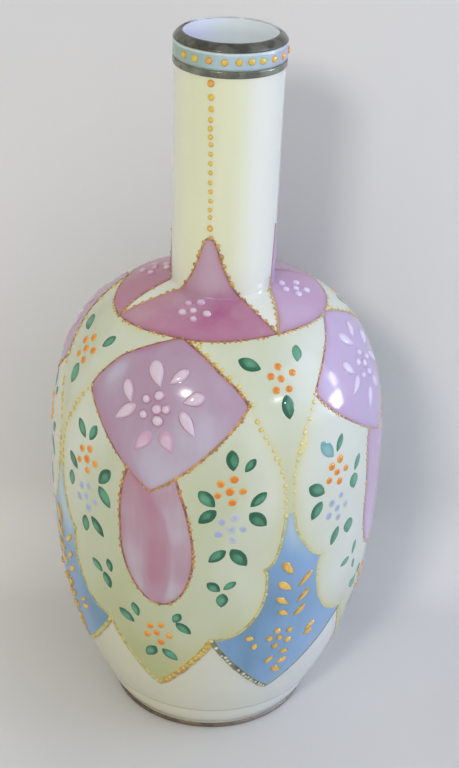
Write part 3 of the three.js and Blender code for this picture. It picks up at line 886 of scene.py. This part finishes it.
def oval_tone(u, v):
    """Rose down the middle, with pale wedges as on a folded ribbon."""
    def soft(value):
        return 1 / (1 + np.exp(-value * 30))
    right = soft(u - 0.38 + 0.28 * np.clip((v - 0.7) / 0.25, 0, 1)) * soft(v - 0.1)
    lower_left = soft(-u - 0.3) * soft(0.42 - v) * soft(v - 0.1)
    upper_left = soft(-u - 0.45) * soft(v - 0.6) * soft(0.93 - v)
    streak = spot(u, v, 0.05, 0.4, 0.05, 0.12)
    return 0.4 + 0.5 * right + 0.36 * lower_left + 0.26 * upper_left + 0.5 * soft(0.14 - v) - 0.1 * streak


def cream_tone(u, v):
    return 0.32 + 0.35 * v + 0.22 * np.abs(u)


def blue_tone(u, v):
    return 0.3 + 0.55 * np.clip((v - 0.55) / 0.4, 0, 1) + 0.1 * u


def both(half_at):
    """The two flanks of a field that is the same on each side, four times."""
    return [(half_at, half_at)] * 4


# The fields: their name and node, flanks, levels, turn, height, material, slot and tone, the rows and columns
# of their mesh, the dip of their top line, how far pigment gathers, and the share of height kept at their edge
FIELDS = [
    ("apron", "apron_field", both(apron_half), HEM_TIP, DIAMOND_CORNER, 0, WASH_HEIGHT, CREAM, "cream_enamel",
     cream_tone, 110, 64, 0, 2.2, 0.85),
    ("yoke", "yoke_field", both(yoke_half), BLUE_POINT, HEM, EIGHTH, WASH_HEIGHT, CREAM, "cream_enamel",
     cream_tone, 80, 40, 0, 2.2, 0.85),
    ("mantle", "mantle_lobe", MANTLE_FLANKS, HEM, MANTLE_TOP, 0, FIELD_HEIGHT, MAUVE, "mauve_enamel",
     mantle_tone, 96, 64, 0, FIELD_EASE, 0),
    ("diamond", "diamond_field", both(diamond_half), DIAMOND_BOTTOM, HEM, 0, FIELD_HEIGHT, LILAC,
     "lilac_enamel", diamond_tone, 90, 64, 0, FIELD_EASE, 0),
    ("oval", "oval_field", both(oval_half), OVAL_BOTTOM, OVAL_TOP, 0, FIELD_HEIGHT, ROSE, "rose_enamel",
     oval_tone, 80, 48, OVAL_OVERLAP, FIELD_EASE, 0),
    ("blue", "blue_field", both(blue_half), HEM_TIP, BLUE_POINT, EIGHTH, FIELD_HEIGHT, BLUE, "blue_enamel",
     blue_tone, 110, 48, 0, FIELD_EASE, 0),
]


def make_fields():
    for name, node, flanks, low, high, start, *rest in FIELDS:
        for k in range(4):
            centre = start + k * QUARTER
            field_shell(f"{name}_enamel_{k + 1}", f"{node}_{k + 1}", flanks[k], low, high, centre, *rest)


# The gilt outlines: what each kind is called, its material and its slot
OUTLINES = {
    "brown": ("reddish_outline", BROWN_LINE, "aged_gilding"),
    "gold": ("gold_outline", GOLD_LINE, "raised_gold"),
    "moss": ("moss_outline", MOSS_LINE, "aged_gilding"),
    "hem": ("hem_outline", HEM_LINE, "raised_gold"),
    "olive": ("olive_outline", OLIVE_LINE, "aged_gilding"),
    "yellow": ("border_beads", YELLOW_BEAD, "raised_gold"),
    "pale": ("hem_beads", PALE_BEAD, "raised_gold"),
}

# The stretches of border that have a line
LOW_DIAMOND = (diamond_half, DIAMOND_BOTTOM, DIAMOND_CORNER)
HIGH_DIAMOND = (diamond_half, DIAMOND_CORNER, HEM)
OUTER_DIAMOND = (diamond_half, DIAMOND_CORNER, HEM - 1.4)
OVAL = (oval_half, OVAL_BOTTOM, OVAL_TOP)
STEM = (apron_half, BLUE_POINT, DIAMOND_CORNER)
BANK = (apron_half, HEM_NOTCH, BLUE_POINT)
APRON_TIP = (apron_half, HEM_TIP, HEM_NOTCH)
BLUE_TIP = (blue_half, HEM_TIP, HEM_NOTCH)

# The lines in the order in which they are laid: their stretch, turn and side, their ridge as a kind with its
# width, height and base, and their beads as a kind with its spacing, size, place aside, base, height to size,
# and the share that is lost
LINES = [
    (*LOW_DIAMOND, 0, -1, ("brown", 0.65, 0.12, 0.08), ("gold", 1.5, 0.7, -0.2, 0.1, 0.22, 0.3)),
    (*HIGH_DIAMOND, 0, -1, ("brown", 0.6, 0.12, 0.08), ("gold", 1.7, 0.65, -0.2, 0.1, 0.22, 0.3)),
    (*HIGH_DIAMOND, 0, 1, ("brown", 0.85, 0.16, 0.08), ("gold", 1.6, 0.85, 0.25, 0.1, 0.4, 0.15)),
    (*OUTER_DIAMOND, 0, 1, None, ("yellow", 2.8, 1.25, 1.1, 0.1, 0.3, 0.08)),
    (*LOW_DIAMOND, 0, 1, ("gold", 0.8, 0.12, 0.08), ("gold", 1.4, 0.95, 0.15, 0.1, 0.3, 0.1)),
    (*OVAL, 0, -1, ("brown", 0.85, 0.1, 0.08), ("gold", 2.3, 1, -0.3, 0.1, 0.22, 0.15)),
    (*STEM, 0, -1, None, ("yellow", 2.2, 1.1, 0, 0.1, 0.3, 0.08)),
    (*BANK, 0, -1, ("moss", 0.9, 0.12, 0.12), ("yellow", 2.6, 0.75, 0, 0.12, 0.25, 0.25)),
    (*OVAL, 0, 1, ("brown", 0.85, 0.1, 0.08), ("gold", 1.7, 1, 0.3, 0.1, 0.22, 0.15)),
    (*STEM, 0, 1, None, ("yellow", 2.2, 1.1, 0, 0.1, 0.3, 0.08)),
    (*BANK, 0, 1, ("moss", 0.9, 0.12, 0.12), ("yellow", 2.6, 0.75, 0, 0.12, 0.25, 0.25)),
    (*APRON_TIP, 0, -1, ("moss", 1.5, 0.2, 0.06), ("yellow", 1.8, 0.7, 0, 0.1, 0.3, 0.4)),
    (*APRON_TIP, 0, 1, ("hem", 2.3, 0.3, 0.06), ("yellow", 1.5, 1, -0.4, 0.24, 0.25, 0.2)),
    (*BLUE_TIP, EIGHTH, -1, ("olive", 1.9, 0.32, 0.08), ("pale", 1.4, 1, 0, 0.34, 0.25, 0.15)),
]
THIN_LAST_LINE = (*BLUE_TIP, EIGHTH, 1, ("olive", 0.4, 0.14, 0.12))
BROAD_LAST_LINE = (*BLUE_TIP, EIGHTH, 1, ("moss", 1.6, 0.3, 0.08), ("yellow", 1.8, 0.9, 0, 0.3, 0.25, 0.3))

# The lines of a mantle, up its left and its right flank and along its hem
PINCHED_LINE_TOP = 3.0
LEFT_FLANK_LINE = (("gold", 0.6, 0.1, 0.08), ("gold", 2.4, 0.95, -0.35, 0.1, 0.3, 0.15))
RIGHT_FLANK_RIDGE = ("brown", 0.5, 0.14, 0.08)
RIGHT_FLANK_BIG_BEADS = ("gold", 3, 1.15, 0.4, 0.1, 0.4, 0.08)
RIGHT_FLANK_BEADS = ("gold", 1.4, 0.75, 0.15, 0.1, 0.4, 0.25)
HEM_LAID = (("brown", 0.45, 0.12, 0.1), ("gold", 1.5, 0.8, 0.3, 0.1, 0.22, 0.2))

# A bead that ran, on the second apron: its turn, run, length, width, height and lean to the right
GILT_SMEAR = (48.9, -46.4, 6, 1.6, 0.12, 20)


def beads_along(jewels, turn, run, spacing, size, aside, base, tall, lost, chance):
    """Hand-laid beads along a path, a little uneven in place and size, with a share of them lost."""
    turn, run = resampled(turn, run, spacing)
    for turn_at, level, right, up in zip(turn, run, *heading(turn, run)):
        if chance.random() < lost:
            continue
        scale = chance.uniform(0.75, 1.2)
        shift = aside + chance.gauss(0, 0.12)
        step = chance.gauss(0, 0.12 * spacing)
        width = size * scale
        turn_laid = turn_at + degrees_for(up * shift + right * step, level)
        jewels.drop(turn_laid, level + (-right * shift + up * step), width * chance.uniform(0.9, 1.25), width,
                    tall * size * scale, slant=chance.uniform(-80, 80), segments=10, base=base,
                    shade=chance.random())


def lay(jewels, path, chance, ridge, *rows):
    """One line: its ridge, where it has one, and its rows of beads."""
    if ridge:
        kind, *sizes = ridge
        jewels[kind].ridge(*path, *sizes, chance)
    for kind, *sizes in rows:
        beads_along(jewels[kind], *path, *sizes, chance)


def mantle_lines(k, jewels, chance):
    """The lines up a mantle's two flanks, where it has a border there, and along its hem."""
    centre = k * QUARTER
    left, right = MANTLE_FLANKS[k]
    if left is not FULL_FLANK:
        top = PINCHED_LINE_TOP if left is PINCHED_FLANK else MANTLE_TOP
        lay(jewels, side_path(left, HEM, top, centre, -1), chance, *LEFT_FLANK_LINE)
    if right is not FULL_FLANK:
        rows = [RIGHT_FLANK_BIG_BEADS, RIGHT_FLANK_BEADS] if right is PLAIN_FLANK else [RIGHT_FLANK_BEADS]
        lay(jewels, side_path(right, HEM, MANTLE_TOP, centre, 1), chance, RIGHT_FLANK_RIDGE, *rows)
    hem = drawn(np.linspace(centre - EIGHTH, centre + EIGHTH, PATH_SAMPLES), HEM)
    lay(jewels, resampled(*hem, PATH_STEP), chance, *HEM_LAID)


def make_outlines():
    for k in range(4):
        chance = random.Random(40 + k)
        jewels = {kind: Jewels() for kind in OUTLINES}
        mantle_lines(k, jewels, chance)
        for half_at, low, high, turn, side, *laid in [*LINES, BROAD_LAST_LINE if k == 3 else THIN_LAST_LINE]:
            lay(jewels, side_path(half_at, low, high, k * QUARTER + turn, side), chance, *laid)
        if k == 0:
            *smear, slant = GILT_SMEAR
            jewels["yellow"].drop(*smear, slant=slant, base=0.08, shade=0.3)
        for kind, (name, material, slot) in OUTLINES.items():
            jewels[kind].build(f"{name}_{k + 1}", material, slot)


# The raised motifs, as places in millimetres right of and above a motif's own middle.
# A stroke is its place, the lean of its top end to the right in degrees, its length and its width.
PETALS = [(-2.2, 8.8, -30, 7.8, 4.2), (4, 9.1, 45, 6.4, 3.2), (-9, 2.5, -35, 6.6, 3.5),
          (9.2, 3.8, 62, 6.4, 3.7), (-8.8, -2.9, 48, 8, 3.3), (9, -2.5, -32, 8, 3.3)]
ROSY_PETALS = [(-2.4, -9.2, 32, 7.8, 4), (4.4, -8, -30, 7, 4.2)]
PETAL_DOTS = [(0, 0), (0, 3.4), (-3.3, 1.8), (2.9, 0.7), (-3.3, -2), (0.9, -3)]
MANTLE_DOTS = [(0, 0), (-2.6, 2.3), (0.45, 3.9), (-2.65, -1.4), (3.7, -0.1), (1.4, -3.2)]
BLOSSOM = [(0, 0), (1.1, 3.5), (-2.3, 2.2), (3.5, -0.1), (-3.1, -1.5), (0.8, -3.3)]
SPRIG_LEAVES = [(0.4, 8.8, -8, 5.8, 3.5), (5.3, 7.2, 45, 4.8, 2.3), (-6.2, -2.5, -45, 6, 3.6),
                (-5.8, -8.1, 48, 6, 3.5), (7.6, -3, 45, 6.2, 2.9), (7.7, -9, -48, 6.8, 3.8),
                (-2.9, -20.1, 45, 5.8, 3.1), (3.2, -20.9, -35, 7.2, 4),
                (-3.4, -30.6, -50, 4.8, 3.2), (1.1, -30.1, 48, 4.2, 2.2), (-1.1, -35.3, 0, 5, 3.4)]
LEFT_SPRIG_LEAVES = [(-3.2, 8.1, -42, 6.2, 2.9), (1.5, 8.5, 22, 5.4, 2.9), (-6.2, -3.1, -45, 6, 3),
                     (-6.7, -9, 6, 5.2, 3.3), (7.2, -2.5, 38, 6.8, 3.5), (7.4, -8.5, -46, 7, 3.6),
                     (-0.2, -20.6, 2, 5.4, 3.2), (4.6, -19.2, -50, 6.8, 3.4),
                     (4, -32.5, -60, 5.4, 2.8), (8.7, -30.5, -14, 4.6, 2.4), (7.9, -36.2, -22, 5.6, 3)]
FAR_SPRIG_LEAVES = [(-3.4, 7.8, -34, 6.6, 3.8), (1.6, 8.2, 28, 5.4, 2.4), (8.6, -0.6, 34, 5, 2.4),
                    (7.4, -6, 6, 5.2, 4), (-7.2, -3.1, -56, 6.4, 3.8), (-7.1, -9.4, 34, 6.2, 3.4),
                    (6.4, -20, 2, 5.2, 4.2), (0.5, -20.7, 28, 6.4, 2.8), (11.2, -30.1, 9, 4.8, 2),
                    (7, -33, 70, 4.6, 2.4), (12.4, -36.8, -8, 4, 1.8), (15.6, -45.3, 42, 4.2, 1.8)]
LOWER_BLOSSOM = (0.5, -11.5)
YOKE_BLOSSOM = [(0, 0), (0.1, 3.6), (-2.7, 1.2), (3.5, 1.1), (-2.3, -2.5), (1.6, -2.9)]
YOKE_LEAVES = [(-7.6, 4.9, -58, 6.4, 3.7), (6.5, 5.6, 22, 5, 3), (0.4, -7.5, -5, 6.3, 3.8)]
TIP_LEAVES = [(-6.4, 7.1, -18, 5, 2.8), (-9.6, 3.3, -52, 6.3, 3.4), (5.7, 7.3, 28, 4.4, 2.8),
              (7.6, 3.4, -50, 5.6, 3.2), (-2.5, -8.3, 40, 5.8, 3.3), (3.2, -8.3, -42, 6.2, 3.5)]
GOLD_STROKES = [(-0.8, 25.5, -40, 6, 2.7), (5.1, 20.2, 40, 6.4, 1.7), (-1.4, 19.6, -55, 5.8, 2.4),
                (4.8, 14.2, 42, 5.6, 1.6), (-1.4, 14.2, -62, 5.2, 2.1), (4.3, 8.9, 44, 5, 1.9),
                (-0.8, 9.6, -60, 4.4, 1.9), (-9.9, 2.1, -80, 2.8, 1.9), (-8.3, -2.3, 20, 2.8, 1.8),
                (9, 0.8, 48, 3.6, 1.5), (8.9, -2, 70, 3.4, 1.9), (1.7, -6.7, -72, 3.4, 1.7),
                (-3, -8.9, 45, 3.6, 1.7), (1.5, -10.8, 75, 3.6, 1.9), (0.4, -14.2, -50, 4.2, 2.3)]
GOLD_DOTS = [(-1.8, 3), (2, 2.2), (-4, 0.5), (-0.8, 0), (2, -2), (-2, -2.9)]

# How far off the glass the motifs start, and how high leaves are
ON_WASH = WASH_HEIGHT - 0.04
ON_FIELD = FIELD_HEIGHT - 0.05
LEAF_HEIGHT = 0.18

# The middles of the motifs, as turns from the middle of their quarter and runs, and the sizes of the flowers
CROWN_TURNS = [-5.6, 9.5, 0, -4]
CROWN_RUN = -6.4
FLOWER_RISES = [-1.6, -0.3, -1, -1.6]
FLOWER_SIZES = [1, 0.85, 0.95, 1]
RIGHT_SPRIG_TURN = 23.6
RIGHT_SPRIG_RUN = -56.5
LEFT_SPRIG_TURNS = [-28.7, -27.3, -28, -28.4]
LEFT_SPRIG_RUN = -57.3
TIP_FLOWER = (0.5, HEM_NOTCH + 0.3)
YOKE_FLOWER = (EIGHTH - 0.2, HEM - 12.4)
GOLD_SPRIG = (EIGHTH - 1.3, HEM_NOTCH - 1.4)


def drawn_in(k, turn, run):
    """Where the hand put a motif of one quarter."""
    return drawn(k * QUARTER + turn, run)


def scatter(jewels, places, turn, run, size, height, chance, base):
    """Round dots about a middle on the glass."""
    for x, y in places:
        x += chance.gauss(0, 0.12)
        y += chance.gauss(0, 0.12)
        across = size * chance.uniform(0.88, 1.12)
        length = across * chance.uniform(0.9, 1.15)
        jewels.drop(turn + degrees_for(x, run + y), run + y, length, across, height,
                    slant=chance.uniform(-90, 90), base=base, shade=chance.random())


def strokes(jewels, places, turn, run, height, chance, base, foot=0.55, top=0.12, grow=0.0, shades=(0, 1),
            fold=0.0, scale=1.0):
    """Brush strokes, each round where it starts and pointed at its foot."""
    for x, y, slant, length, width in places:
        slant += chance.gauss(0, 4)
        length = (length * scale + grow) * chance.uniform(0.95, 1.05)
        x += chance.gauss(0, 0.12)
        y += chance.gauss(0, 0.12)
        width = (width * scale + grow) * chance.uniform(0.94, 1.06)
        jewels.drop(turn + degrees_for(x, run + y), run + y, length, width, height, slant, foot, top, 22, base,
                    shade=chance.uniform(*shades), fold=fold * chance.choice((-1, 1)))


def make_petals(k):
    """The white flower of a diamond and the dots of its mantle, in a rosy halo."""
    white, halo = Jewels(), Jewels()
    middle = drawn_in(k, 0, DIAMOND_CORNER + FLOWER_RISES[k])
    crown = drawn_in(k, CROWN_TURNS[k], CROWN_RUN)
    scale = FLOWER_SIZES[k]
    for jewels, grow, height, base in ((halo, 0.7, 0.1, ON_FIELD - 0.02), (white, -0.2, 0.7, ON_FIELD)):
        chance = random.Random(80 + k)
        for petals, share, shades in ((PETALS, 1, (0, 0.4)), (ROSY_PETALS, 0.6, (0.9, 1))):
            strokes(jewels, petals, *middle, height * share, chance, base, grow=grow, shades=shades,
                    scale=scale)
        scatter(jewels, PETAL_DOTS, *middle, 2.6 * scale + grow, height * 1.1, chance, base)
        scatter(jewels, MANTLE_DOTS, *crown, 2.3 + grow * 0.5, height, chance, base)
    white.build(f"white_jewels_{k + 1}", WHITE_JEWEL, "raised_white_enamel")
    halo.build(f"petal_halo_{k + 1}", HALO, "rose_enamel")


def make_flowers(k):
    """The sprigs beside an oval, the flower under it and the flower of the yoke to its right."""
    chance = random.Random(100 + k)
    leaves, teal, orange, periwinkle = Jewels(), Jewels(), Jewels(), Jewels()

    def leaf_strokes(jewels, places, turn, run, fold=0.4):
        strokes(jewels, places, turn, run, LEAF_HEIGHT, chance, ON_WASH, foot=0.34, top=0.22, fold=fold)

    def blossom(places, turn, run, size):
        scatter(orange, places, turn, run, size, 0.4, chance, ON_WASH)

    left_leaves = LEFT_SPRIG_LEAVES if k % 2 == 0 else FAR_SPRIG_LEAVES
    for sprig, side_turn, run in ((SPRIG_LEAVES, RIGHT_SPRIG_TURN, RIGHT_SPRIG_RUN),
                                  (left_leaves, LEFT_SPRIG_TURNS[k], LEFT_SPRIG_RUN)):
        turn = k * QUARTER + side_turn
        if sprig is FAR_SPRIG_LEAVES:
            leaf_strokes(teal, sprig[:1], turn, run, fold=0.3)
            sprig = sprig[1:]
        leaf_strokes(leaves, sprig, turn, run)
        blossom(BLOSSOM, turn, run, 2.15)
        x, y = LOWER_BLOSSOM
        scatter(periwinkle, BLOSSOM, turn + degrees_for(x, run + y), run + y, 2.3, 0.12, chance, ON_WASH)
    middle = drawn_in(k, *TIP_FLOWER)
    leaf_strokes(leaves, TIP_LEAVES, *middle)
    blossom(BLOSSOM, *middle, 2.1)
    middle = drawn_in(k, *YOKE_FLOWER)
    leaf_strokes(leaves, YOKE_LEAVES, *middle)
    blossom(YOKE_BLOSSOM, *middle, 2.05)
    leaves.build(f"green_leaves_{k + 1}", LEAF_GREEN, "leaf_green_enamel")
    teal.build(f"teal_leaf_{k + 1}", TEAL, "leaf_green_enamel")
    orange.build(f"orange_blossoms_{k + 1}", ORANGE, "orange_enamel")
    periwinkle.build(f"periwinkle_blossoms_{k + 1}", PERIWINKLE, "periwinkle_enamel")


def make_gold_sprig(k):
    chance = random.Random(110 + k)
    gold = Jewels()
    turn, run = drawn_in(k, *GOLD_SPRIG)
    strokes(gold, GOLD_STROKES, turn, run, 0.6, chance, ON_FIELD, foot=0.5, top=0.15)
    scatter(gold, GOLD_DOTS, turn, run, 2.1, 0.7, chance, ON_FIELD)
    gold.build(f"gold_sprig_{k + 1}", GOLD_LEAF, "raised_gold")


def make_motifs():
    for k in range(4):
        make_petals(k)
        make_flowers(k)
        make_gold_sprig(k)


# Gaps between the beads down the neck, in millimetres, turns of the front beads of the collar, in degrees, and
# the length, width and height of a bead of the collar
NECK_BEAD_GAPS = [3.6, 3, 2.8, 2.35, 2.2, 2, 2.55, 2.55, 2.5, 2.7, 2.45, 2.55, 2.45, 2.1, 3.1]
COLLAR_BEAD_TURNS = [-32, -18, -2, 14, 27, 40, 52, 67, 84, 104]
COLLAR_BACK_BEADS = 13
LOST_COLLAR_BEADS = 3
COLLAR_BEAD = (1.9, 1.75, 0.45)


def make_neck_beads():
    """One column of beads down the neck to the front mantle's spire, and the ring of them on the collar."""
    chance = random.Random(120)
    beads = Jewels()
    run = run_at(LOWER_GILT_BOTTOM) - 1.5
    last = len(NECK_BEAD_GAPS)
    for i, gap in enumerate([*NECK_BEAD_GAPS, 0]):
        size = 1.7 if i == last else 1.25 + 0.75 * math.exp(-i / 3.2)
        turn, _ = drawn(0, run)
        beads.drop(turn + chance.gauss(0, 0.25), run, size, size * 0.95, 0.4 * size, segments=12,
                   shade={0: 1, last: 0.45}.get(i, 0.1))
        run -= gap
    beads.build("neck_beads", GOLD_BEAD, "raised_gold")
    chance = random.Random(130)
    collar = Jewels()
    middle = run_at(0.5 * (COLLAR_BOTTOM + COLLAR_TOP))
    back = np.linspace(COLLAR_BEAD_TURNS[-1], COLLAR_BEAD_TURNS[0] + 360, COLLAR_BACK_BEADS + 2)
    for turn in [*COLLAR_BEAD_TURNS, *back[1:-1 - LOST_COLLAR_BEADS]]:
        turn += chance.gauss(0, 0.5)
        run = middle + chance.gauss(0, 0.08)
        collar.drop(turn, run, *COLLAR_BEAD, base=SKIN, shade=0.7 * chance.random())
    collar.build("collar_beads", GOLD_BEAD, "raised_gold")


make_glass()
skin("lip_gilding", rim_line, LIP_GILT, "aged_gilding", "rim_gilding")
skin("collar_band", rounded_band(COLLAR_BOTTOM, COLLAR_TOP), BAND_BLUE, "collar_blue_enamel", "collar_enamel")
skin("collar_gilding", rounded_band(LOWER_GILT_BOTTOM, LOWER_GILT_TOP), NECK_GILT, "aged_gilding",
     "collar_lower_gilding")
foot_band = rounded_band(FOOT_GILT_START, FOOT_GILT_START + FOOT_GILT_HEIGHT, lambda z: FOOT_OUTER_RADIUS)
skin("foot_line", foot_band, FOOT_GILT, "aged_gilding", "foot_gilding")
make_fields()
make_outlines()
make_motifs()
make_neck_beads()

# The camera stands where the photograph was taken from, in millimetres, radians and, about the axis, degrees
CAMERA_TURN = 18.77
CAMERA_DISTANCE = 375.3
CAMERA_HEIGHT = 307.7
CAMERA_PITCH = 0.5002
CAMERA_YAW = 0.0084
CAMERA_ROLL = -0.0396
FOCAL_PIXELS = 1492.1
PICTURE_HEIGHT = 768
SENSOR = 36.0
FACING = Matrix.Rotation(math.radians(CAMERA_TURN), 4, "Z")


def make_camera():
    """A camera at the photograph's place, turned about the axis to where its first motif faces."""
    data = bpy.data.cameras.new("camera")
    data.sensor_fit = "VERTICAL"
    data.sensor_height = SENSOR
    data.lens = FOCAL_PIXELS * SENSOR / PICTURE_HEIGHT
    data.clip_start = 0.01
    camera = bpy.data.objects.new("camera", data)
    bpy.context.scene.collection.objects.link(camera)
    aim = Matrix.Rotation(-CAMERA_YAW, 4, "Z") @ Matrix.Rotation(math.pi / 2 - CAMERA_PITCH, 4, "X")
    aim = aim @ Matrix.Rotation(-CAMERA_ROLL, 4, "Z")
    camera.matrix_world = FACING @ Matrix.Translation((0, -CAMERA_DISTANCE * MM, CAMERA_HEIGHT * MM)) @ aim
    bpy.context.scene.camera = camera


# The pale sweep that the vase stands on, and the light
SWEEP_FLOOR = (-900.0, -200.0, 0.0)
SWEEP_START = 30.0
SWEEP_RADIUS = 30.0
SWEEP_LEAN = 2.0
SWEEP_RISE = 900.0
SWEEP_STEPS = 24
SWEEP_COLUMNS = 9
SWEEP_WIDTH = 2400.0
FLOOR_REACH = 3000.0
FLOOR_DROP = 0.5
FLOOR_GLOW = 0.24
STAGE_ROUGHNESS = 0.75
LEFT_SHEEN = (-0.09, -0.035)
WALL_START = (0.0, 0.06)


def stage_piece(name, points, faces, material):
    """A piece of the set, turned to face the camera."""
    made = smooth_mesh(name, points, faces, material)
    made.matrix_world = FACING


def one_sided(finish):
    """The backdrop's back isn't seen, so that it doesn't hide the vase from a camera behind it."""
    seen = finish.node("LightPath").outputs["Is Camera Ray"]
    choice = finish.node("MixShader")
    finish.feed(finish.times(seen, finish.node("NewGeometry").outputs["Backfacing"]), choice.inputs[0])
    finish.feed(finish.shader.outputs["BSDF"], choice.inputs[1])
    finish.feed(finish.node("BsdfTransparent").outputs["BSDF"], choice.inputs[2])
    finish.fill(finish.tree.nodes["Material Output"], Surface=choice.outputs["Shader"])


def make_sweep():
    """A floor that curves up into a backdrop close behind the vase, with a painted sheen to its left, and a
    wider floor just under it that glows a little to the camera, painted light over the shade behind the
    backdrop.
    """
    line = [(y, 0.0) for y in (*SWEEP_FLOOR, SWEEP_START)]
    stop = math.radians(90 - SWEEP_LEAN)
    for i in range(1, SWEEP_STEPS + 1):
        angle = stop * i / SWEEP_STEPS
        line.append((SWEEP_START + SWEEP_RADIUS * math.sin(angle), SWEEP_RADIUS * (1 - math.cos(angle))))
    line.append((line[-1][0] + SWEEP_RISE * math.cos(stop), line[-1][1] + SWEEP_RISE * math.sin(stop)))
    points = [((j / (SWEEP_COLUMNS - 1) - 0.5) * SWEEP_WIDTH * MM, y * MM, z * MM)
              for y, z in line for j in range(SWEEP_COLUMNS)]
    finish = Finish("pale_sweep", STAGE_ROUGHNESS)
    cloud = finish.ramp(finish.noise(9), *NOISE_BAND)
    floor = finish.mix(cloud, (216, 215, 212), (209, 208, 206))
    wall = finish.mix(cloud, (222, 221, 219), (216, 215, 214))
    sheen = finish.ramp(finish.place_parts()["X"], *LEFT_SHEEN, 0.8, 0)
    floor = finish.mix(sheen, floor, (230, 228, 224))
    finish.shade(Base_Color=finish.mix(finish.ramp(finish.height(), *WALL_START), floor, wall))
    one_sided(finish)
    stage_piece("sweep", points, grid_faces(len(line), SWEEP_COLUMNS), finish.material)
    ground = Finish("pale_floor", STAGE_ROUGHNESS)
    # Painted light: the wider floor glows a little to the camera, over the shade behind the backdrop.
    floor_glow = ground.times(ground.node("LightPath").outputs["Is Camera Ray"], FLOOR_GLOW)
    ground.shade(Base_Color=(212, 211, 209), Emission_Color=(255, 255, 255), Emission_Strength=floor_glow)
    reach = FLOOR_REACH * MM
    corners = [(x, y, -FLOOR_DROP * MM) for y in (-reach, reach) for x in (-reach, reach)]
    stage_piece("floor", corners, [[0, 1, 3, 2]], ground.material)


LIGHT_AIM = 95
WARM = (1.0, 0.98, 0.96)
COOL = (0.95, 0.97, 1.0)


def add_light(name, turn, distance, height, energy, colour, size, lights=True, shines=True):
    """A lamp placed by its turn from the camera, its distance and its height, aimed at the vase.

    It may light without being mirrored in the glaze, or be mirrored only.
    """
    data = bpy.data.lights.new(name, "AREA")
    data.energy = energy
    data.color = colour
    data.shape = "RECTANGLE"
    data.size = size[0] * MM
    data.size_y = size[1] * MM
    lamp = bpy.data.objects.new(name, data)
    lamp.visible_diffuse = lights
    lamp.visible_glossy = shines
    bpy.context.scene.collection.objects.link(lamp)
    angle = math.radians(CAMERA_TURN + turn)
    place = Vector((distance * math.sin(angle), -distance * math.cos(angle), height)) * MM
    aim = Vector((0, 0, LIGHT_AIM)) * MM - place
    lamp.matrix_world = Matrix.Translation(place) @ aim.to_track_quat("-Z", "Y").to_matrix().to_4x4()


# The studio's two ends in linear light, how it goes over from one to the other, and its strength
LEFT_AIR = (0.42, 0.405, 0.36, 1)
RIGHT_AIR = (0.74, 0.79, 0.9, 1)
AIR_BLEND = (-0.8, 0.9)
AIR_STRENGTH = 1.08


def make_world():
    """An even studio, cool and bright to the camera's right and warm and dimmer to its left."""
    world = bpy.data.worlds.new("studio")
    world.use_nodes = True
    nodes = Nodes(world.node_tree)
    place = nodes.node("TexCoord").outputs["Generated"]
    facing = nodes.node("Mapping", Rotation=(0, 0, -math.radians(CAMERA_TURN)), Vector=place)
    split = nodes.node("SeparateXYZ", Vector=facing.outputs["Vector"])
    air = nodes.mix(nodes.ramp(split.outputs["X"], *AIR_BLEND), LEFT_AIR, RIGHT_AIR)
    nodes.fill(nodes.tree.nodes["Background"], Color=air, Strength=AIR_STRENGTH)
    bpy.context.scene.world = world


def make_light():
    add_light("key", -19, 800, 635, 2.9, (1.0, 0.96, 0.9), (150, 150), shines=False)
    add_light("flash", -25.5, 800, 650, 0.8, WARM, (40, 30), lights=False)
    add_light("flash_glow", -25.5, 800, 650, 0.5, WARM, (125, 95), lights=False)
    add_light("strip", 45.5, 900, 540, 0.3, (0.96, 0.98, 1.0), (84, 6), lights=False)
    add_light("window", 89, 700, 132, 0.3, COOL, (60, 40), lights=False)
    add_light("window_glow", 88, 700, 150, 0.6, COOL, (150, 110), lights=False)
    add_light("sky_patch", 94, 700, 290, 0.3, COOL, (90, 120), lights=False)
    add_light("side_sky", 78, 520, 330, 0.9, (0.55, 0.66, 1.0), (300, 460))
    make_world()


make_camera()
make_sweep()
make_light()
bpy.context.scene.view_settings.view_transform = "Standard"
